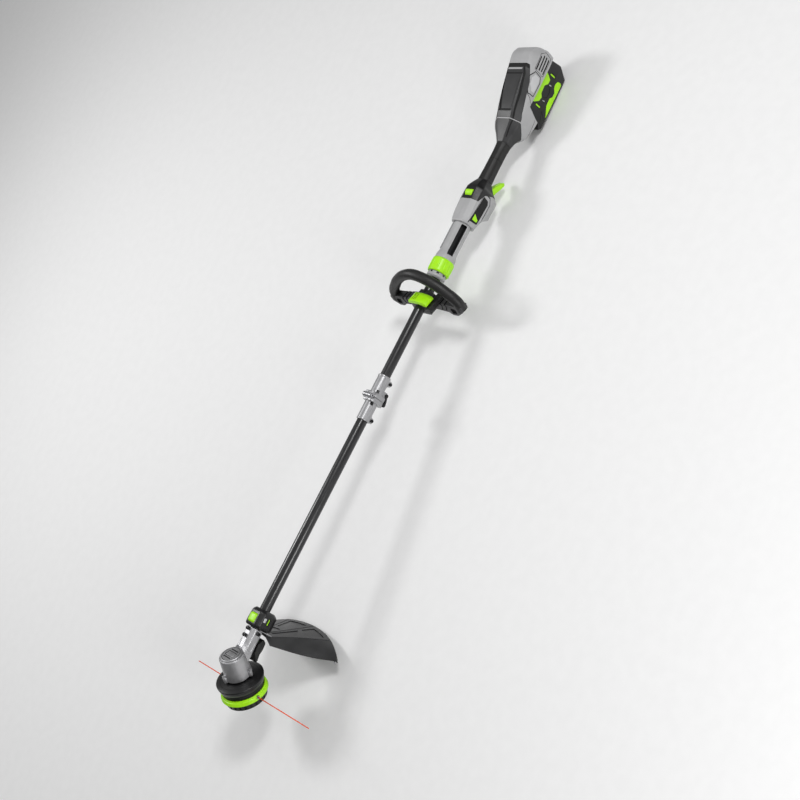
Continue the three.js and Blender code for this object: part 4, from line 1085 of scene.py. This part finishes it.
cut(blade, prism("x", [(-26, -64), (8, -64), (8, -62), (-26, -62)], 218.6, 221, STEEL))
blade.data.transform(TO_HEAD @ spin(-32))
place(blade, "line_cutter", "lower_shaft", "line_cutter_blade")

# Cutting head

rotor_profile = [(0, -48), (4, -48), (4, -14), (12, -14), (12, 18), (4, 18), (4, 26), (0, 26)]
rotor = turned(rotor_profile, STEEL, corner=0.5, sides=64, matrix=TO_HEAD)
place(rotor, "motor_shaft", "cutting_head", "motor_rotor")


def head_groove(obj, radius, low, high):
    """A thin groove round a piece of the head, down to a radius, in near-black painted shade."""
    band = ring(60, 40, low, high, SHADE_AND_BADGE_BLACK, corner=0, sides=128)
    return cut(obj, cut(band, rod(radius, -90, -30, SHADE_AND_BADGE_BLACK, corner=0, sides=128)))


cover = [
    (4.3, -26.5), (34, -26.5), (57, -31), (57, -35), (54, -46), (51.5, -46), (53.5, -35), (33, -29.5),
    (4.3, -29.5),
]
cover = turned(cover, BLACK, corner=1.6, sides=160)
for radius, high in ((47, -28.4), (39, -26.8)):
    cut(cover, ring(radius, radius - 0.9, high - 0.7, high + 3, SHADE_AND_BADGE_BLACK, corner=0, sides=128))
head_groove(cover, 55.1, -38.6, -37.4)
place(moved(cover, TO_HEAD), "head_disc", "cutting_head", "head_cover")
base = turned(
    [(6, -46.3), (50, -46.3), (50, -89), (34, -89), (34, -86), (46.5, -86), (46.5, -49.3), (6, -49.3)],
    BLACK, corner=1.4, sides=160,
)
for z in (-51, -55):
    head_groove(base, 49.2, z - 0.5, z + 0.5)
for i in range(24):
    cut(base, moved(block((48.8, 52), (-2.4, 2.4), (-86, -75), SHADE_AND_BADGE_BLACK), spin(15 * i + 7.5)))


def eyelet_ways():
    at_line = shift(0, 0, LINE_Z)
    return [rod(4.3, low, low + 30, SHADE_AND_BADGE_BLACK, "y", 0, 48, at_line) for low in (-70, 40)]


cut(base, *eyelet_ways())
place(moved(base, TO_HEAD), "head_drum", "cutting_head", "head_base")
band_profile = [(50.3, -59), (53, -59), (53.4, -62.5), (55.4, -63.5), (57, -70), (57, -72), (50.3, -72)]
green = turned(band_profile, GREEN, corner=0.7, sides=160)
cut(green, *eyelet_ways())
place(moved(green, TO_HEAD), "head_band", "cutting_head", "line_ring")
LINE_STEPS = 150
LINE_SIDES = 24
LINE_START = 50
LINE_PITCH = 34


def line_outline():
    """The line's section, a square one with soft corners."""
    turns = [2 * math.pi * i / LINE_SIDES for i in range(LINE_SIDES)]
    radii = [1.2 * (1 - 0.1 * math.cos(4 * turn)) for turn in turns]
    return [(radius * math.cos(turn), radius * math.sin(turn)) for radius, turn in zip(radii, turns)]


def twisted_line(start, end):
    """A straight length of line along Y, twisted about itself, and the points along its middle."""
    path = [Vector((0, start + (end - start) * k / LINE_STEPS, LINE_Z)) for k in range(LINE_STEPS + 1)]
    sections = []
    for point in path:
        turn = 2 * math.pi * (point.y - start) / LINE_PITCH
        cos, sin = math.cos(turn), math.sin(turn)
        sections.append([(u * cos - v * sin, point.y, LINE_Z + u * sin + v * cos) for u, v in line_outline()])
    return lofted(sections, LINE), path


for name, side, reach in (("near", -1, 244), ("far", 1, 190)):
    low, high = sorted((side * 46, side * 58))
    eyelet = ring(4, 1.6, low, high, STEEL, "y", 0.6, 64, shift(0, 0, LINE_Z))
    place(moved(eyelet, TO_HEAD), "line_eyelet_" + name, "cutting_head", "eyelet_" + name)
    liner = ring(1.55, 1.25, low, high, SHADE_AND_BADGE_BLACK, "y", 0, 48, shift(0, 0, LINE_Z))
    place(moved(liner, TO_HEAD), "eyelet_liner_" + name, "cutting_head")
    line, path = twisted_line(side * LINE_START, side * reach)
    place(moved(line, TO_HEAD), "line_" + name, "cutting_head", "cutting_line_" + name)
spool = [(15, -54), (44, -54), (44, -56.5), (22, -56.5), (22, -79), (44, -79), (44, -81.5), (15, -81.5)]
spool = turned(spool, DARK, corner=0.6, sides=96)
for i in range(6):
    hole = rod(4, -83, -52, SHADE_AND_BADGE_BLACK, corner=0, sides=32, matrix=shift(33, 0, 0))
    cut(spool, moved(hole, spin(60 * i)))
place(moved(spool, TO_HEAD), "spool", "spool_and_knob", "line_spool")
knob = turned([(0, -96), (24, -96), (31, -90), (31, -81.8), (0, -81.8)], BLACK, corner=2.2, sides=128)
for i in range(12):
    flute = rod(2.6, -99, -84, SHADE_AND_BADGE_BLACK, corner=0, sides=24, matrix=shift(31.6, 0, 0))
    cut(knob, moved(flute, spin(30 * i)))
cut(knob, ring(16, 15, -97, -95.4, SHADE_AND_BADGE_BLACK, corner=0))
place(moved(knob, TO_HEAD), "bump_button", "spool_and_knob", "bump_knob")

# Camera, floor and lights


def aim(obj, place_at, target):
    obj.location = place_at
    obj.rotation_mode = "QUATERNION"
    obj.rotation_quaternion = (Vector(target) - Vector(place_at)).to_track_quat("-Z", "Y")


lens = bpy.data.cameras.new("photo_camera")
lens.lens = 56.25
lens.sensor_width = 36
lens.clip_end = 100
camera = bpy.data.objects.new("photo_camera", lens)
bpy.context.scene.collection.objects.link(camera)
rightward = Vector((0.4462687, -0.66518904, -0.59863828))
downward = Vector((-0.87605337, -0.18817063, -0.44398458))
forward = Vector((0.18268754, 0.72257551, -0.66671576))
axes = Matrix((rightward, -downward, -forward)).transposed().to_4x4()
turn = TO_ROW.to_3x3().normalized().to_4x4()
camera.matrix_world = Matrix.Translation(TO_ROW @ Vector((180.254, -2208.091, 1958.554))) @ turn @ axes
bpy.context.scene.camera = camera

world = bpy.data.worlds.new("studio")
bpy.context.scene.world = world
world.use_nodes = True
sky = world.node_tree.nodes
backdrop = sky["Background"]
backdrop.inputs["Strength"].default_value = 0.5
direction = sky.new("ShaderNodeTexCoord")
height = sky.new("ShaderNodeSeparateXYZ")
shade = sky.new("ShaderNodeValToRGB")
shade.color_ramp.elements[0].position = 0.1
shade.color_ramp.elements[0].color = (0.05, 0.05, 0.05, 1)
shade.color_ramp.elements[1].position = 0.85
world.node_tree.links.new(direction.outputs["Generated"], height.inputs["Vector"])
world.node_tree.links.new(height.outputs["Z"], shade.inputs["Fac"])
world.node_tree.links.new(shade.outputs["Color"], backdrop.inputs["Color"])
for name, at, power, size in (
    ("key", (1.3, -1.5, 2.7), 38, 0.7),
    ("fill", (-0.6, -2.7, 1.0), 24, 0.7),
    ("rim", (-0.2, 2.2, 2.4), 34, 0.7),
):
    light = bpy.data.lights.new(name, "AREA")
    light.energy = power
    light.size = size
    lamp = bpy.data.objects.new(name, light)
    bpy.context.scene.collection.objects.link(lamp)
    aim(lamp, at, (0, 0, 0.1))
bpy.ops.mesh.primitive_plane_add(size=14, location=(0, 0, -0.0015))
floor = bpy.context.object
floor.name = "floor"
floor.data.materials.append(finish("pale_floor", (0.86, 0.86, 0.86), 0.8, grain=60, depth=0.02, tint=0.01))
bpy.context.scene.view_settings.view_transform = "Standard"
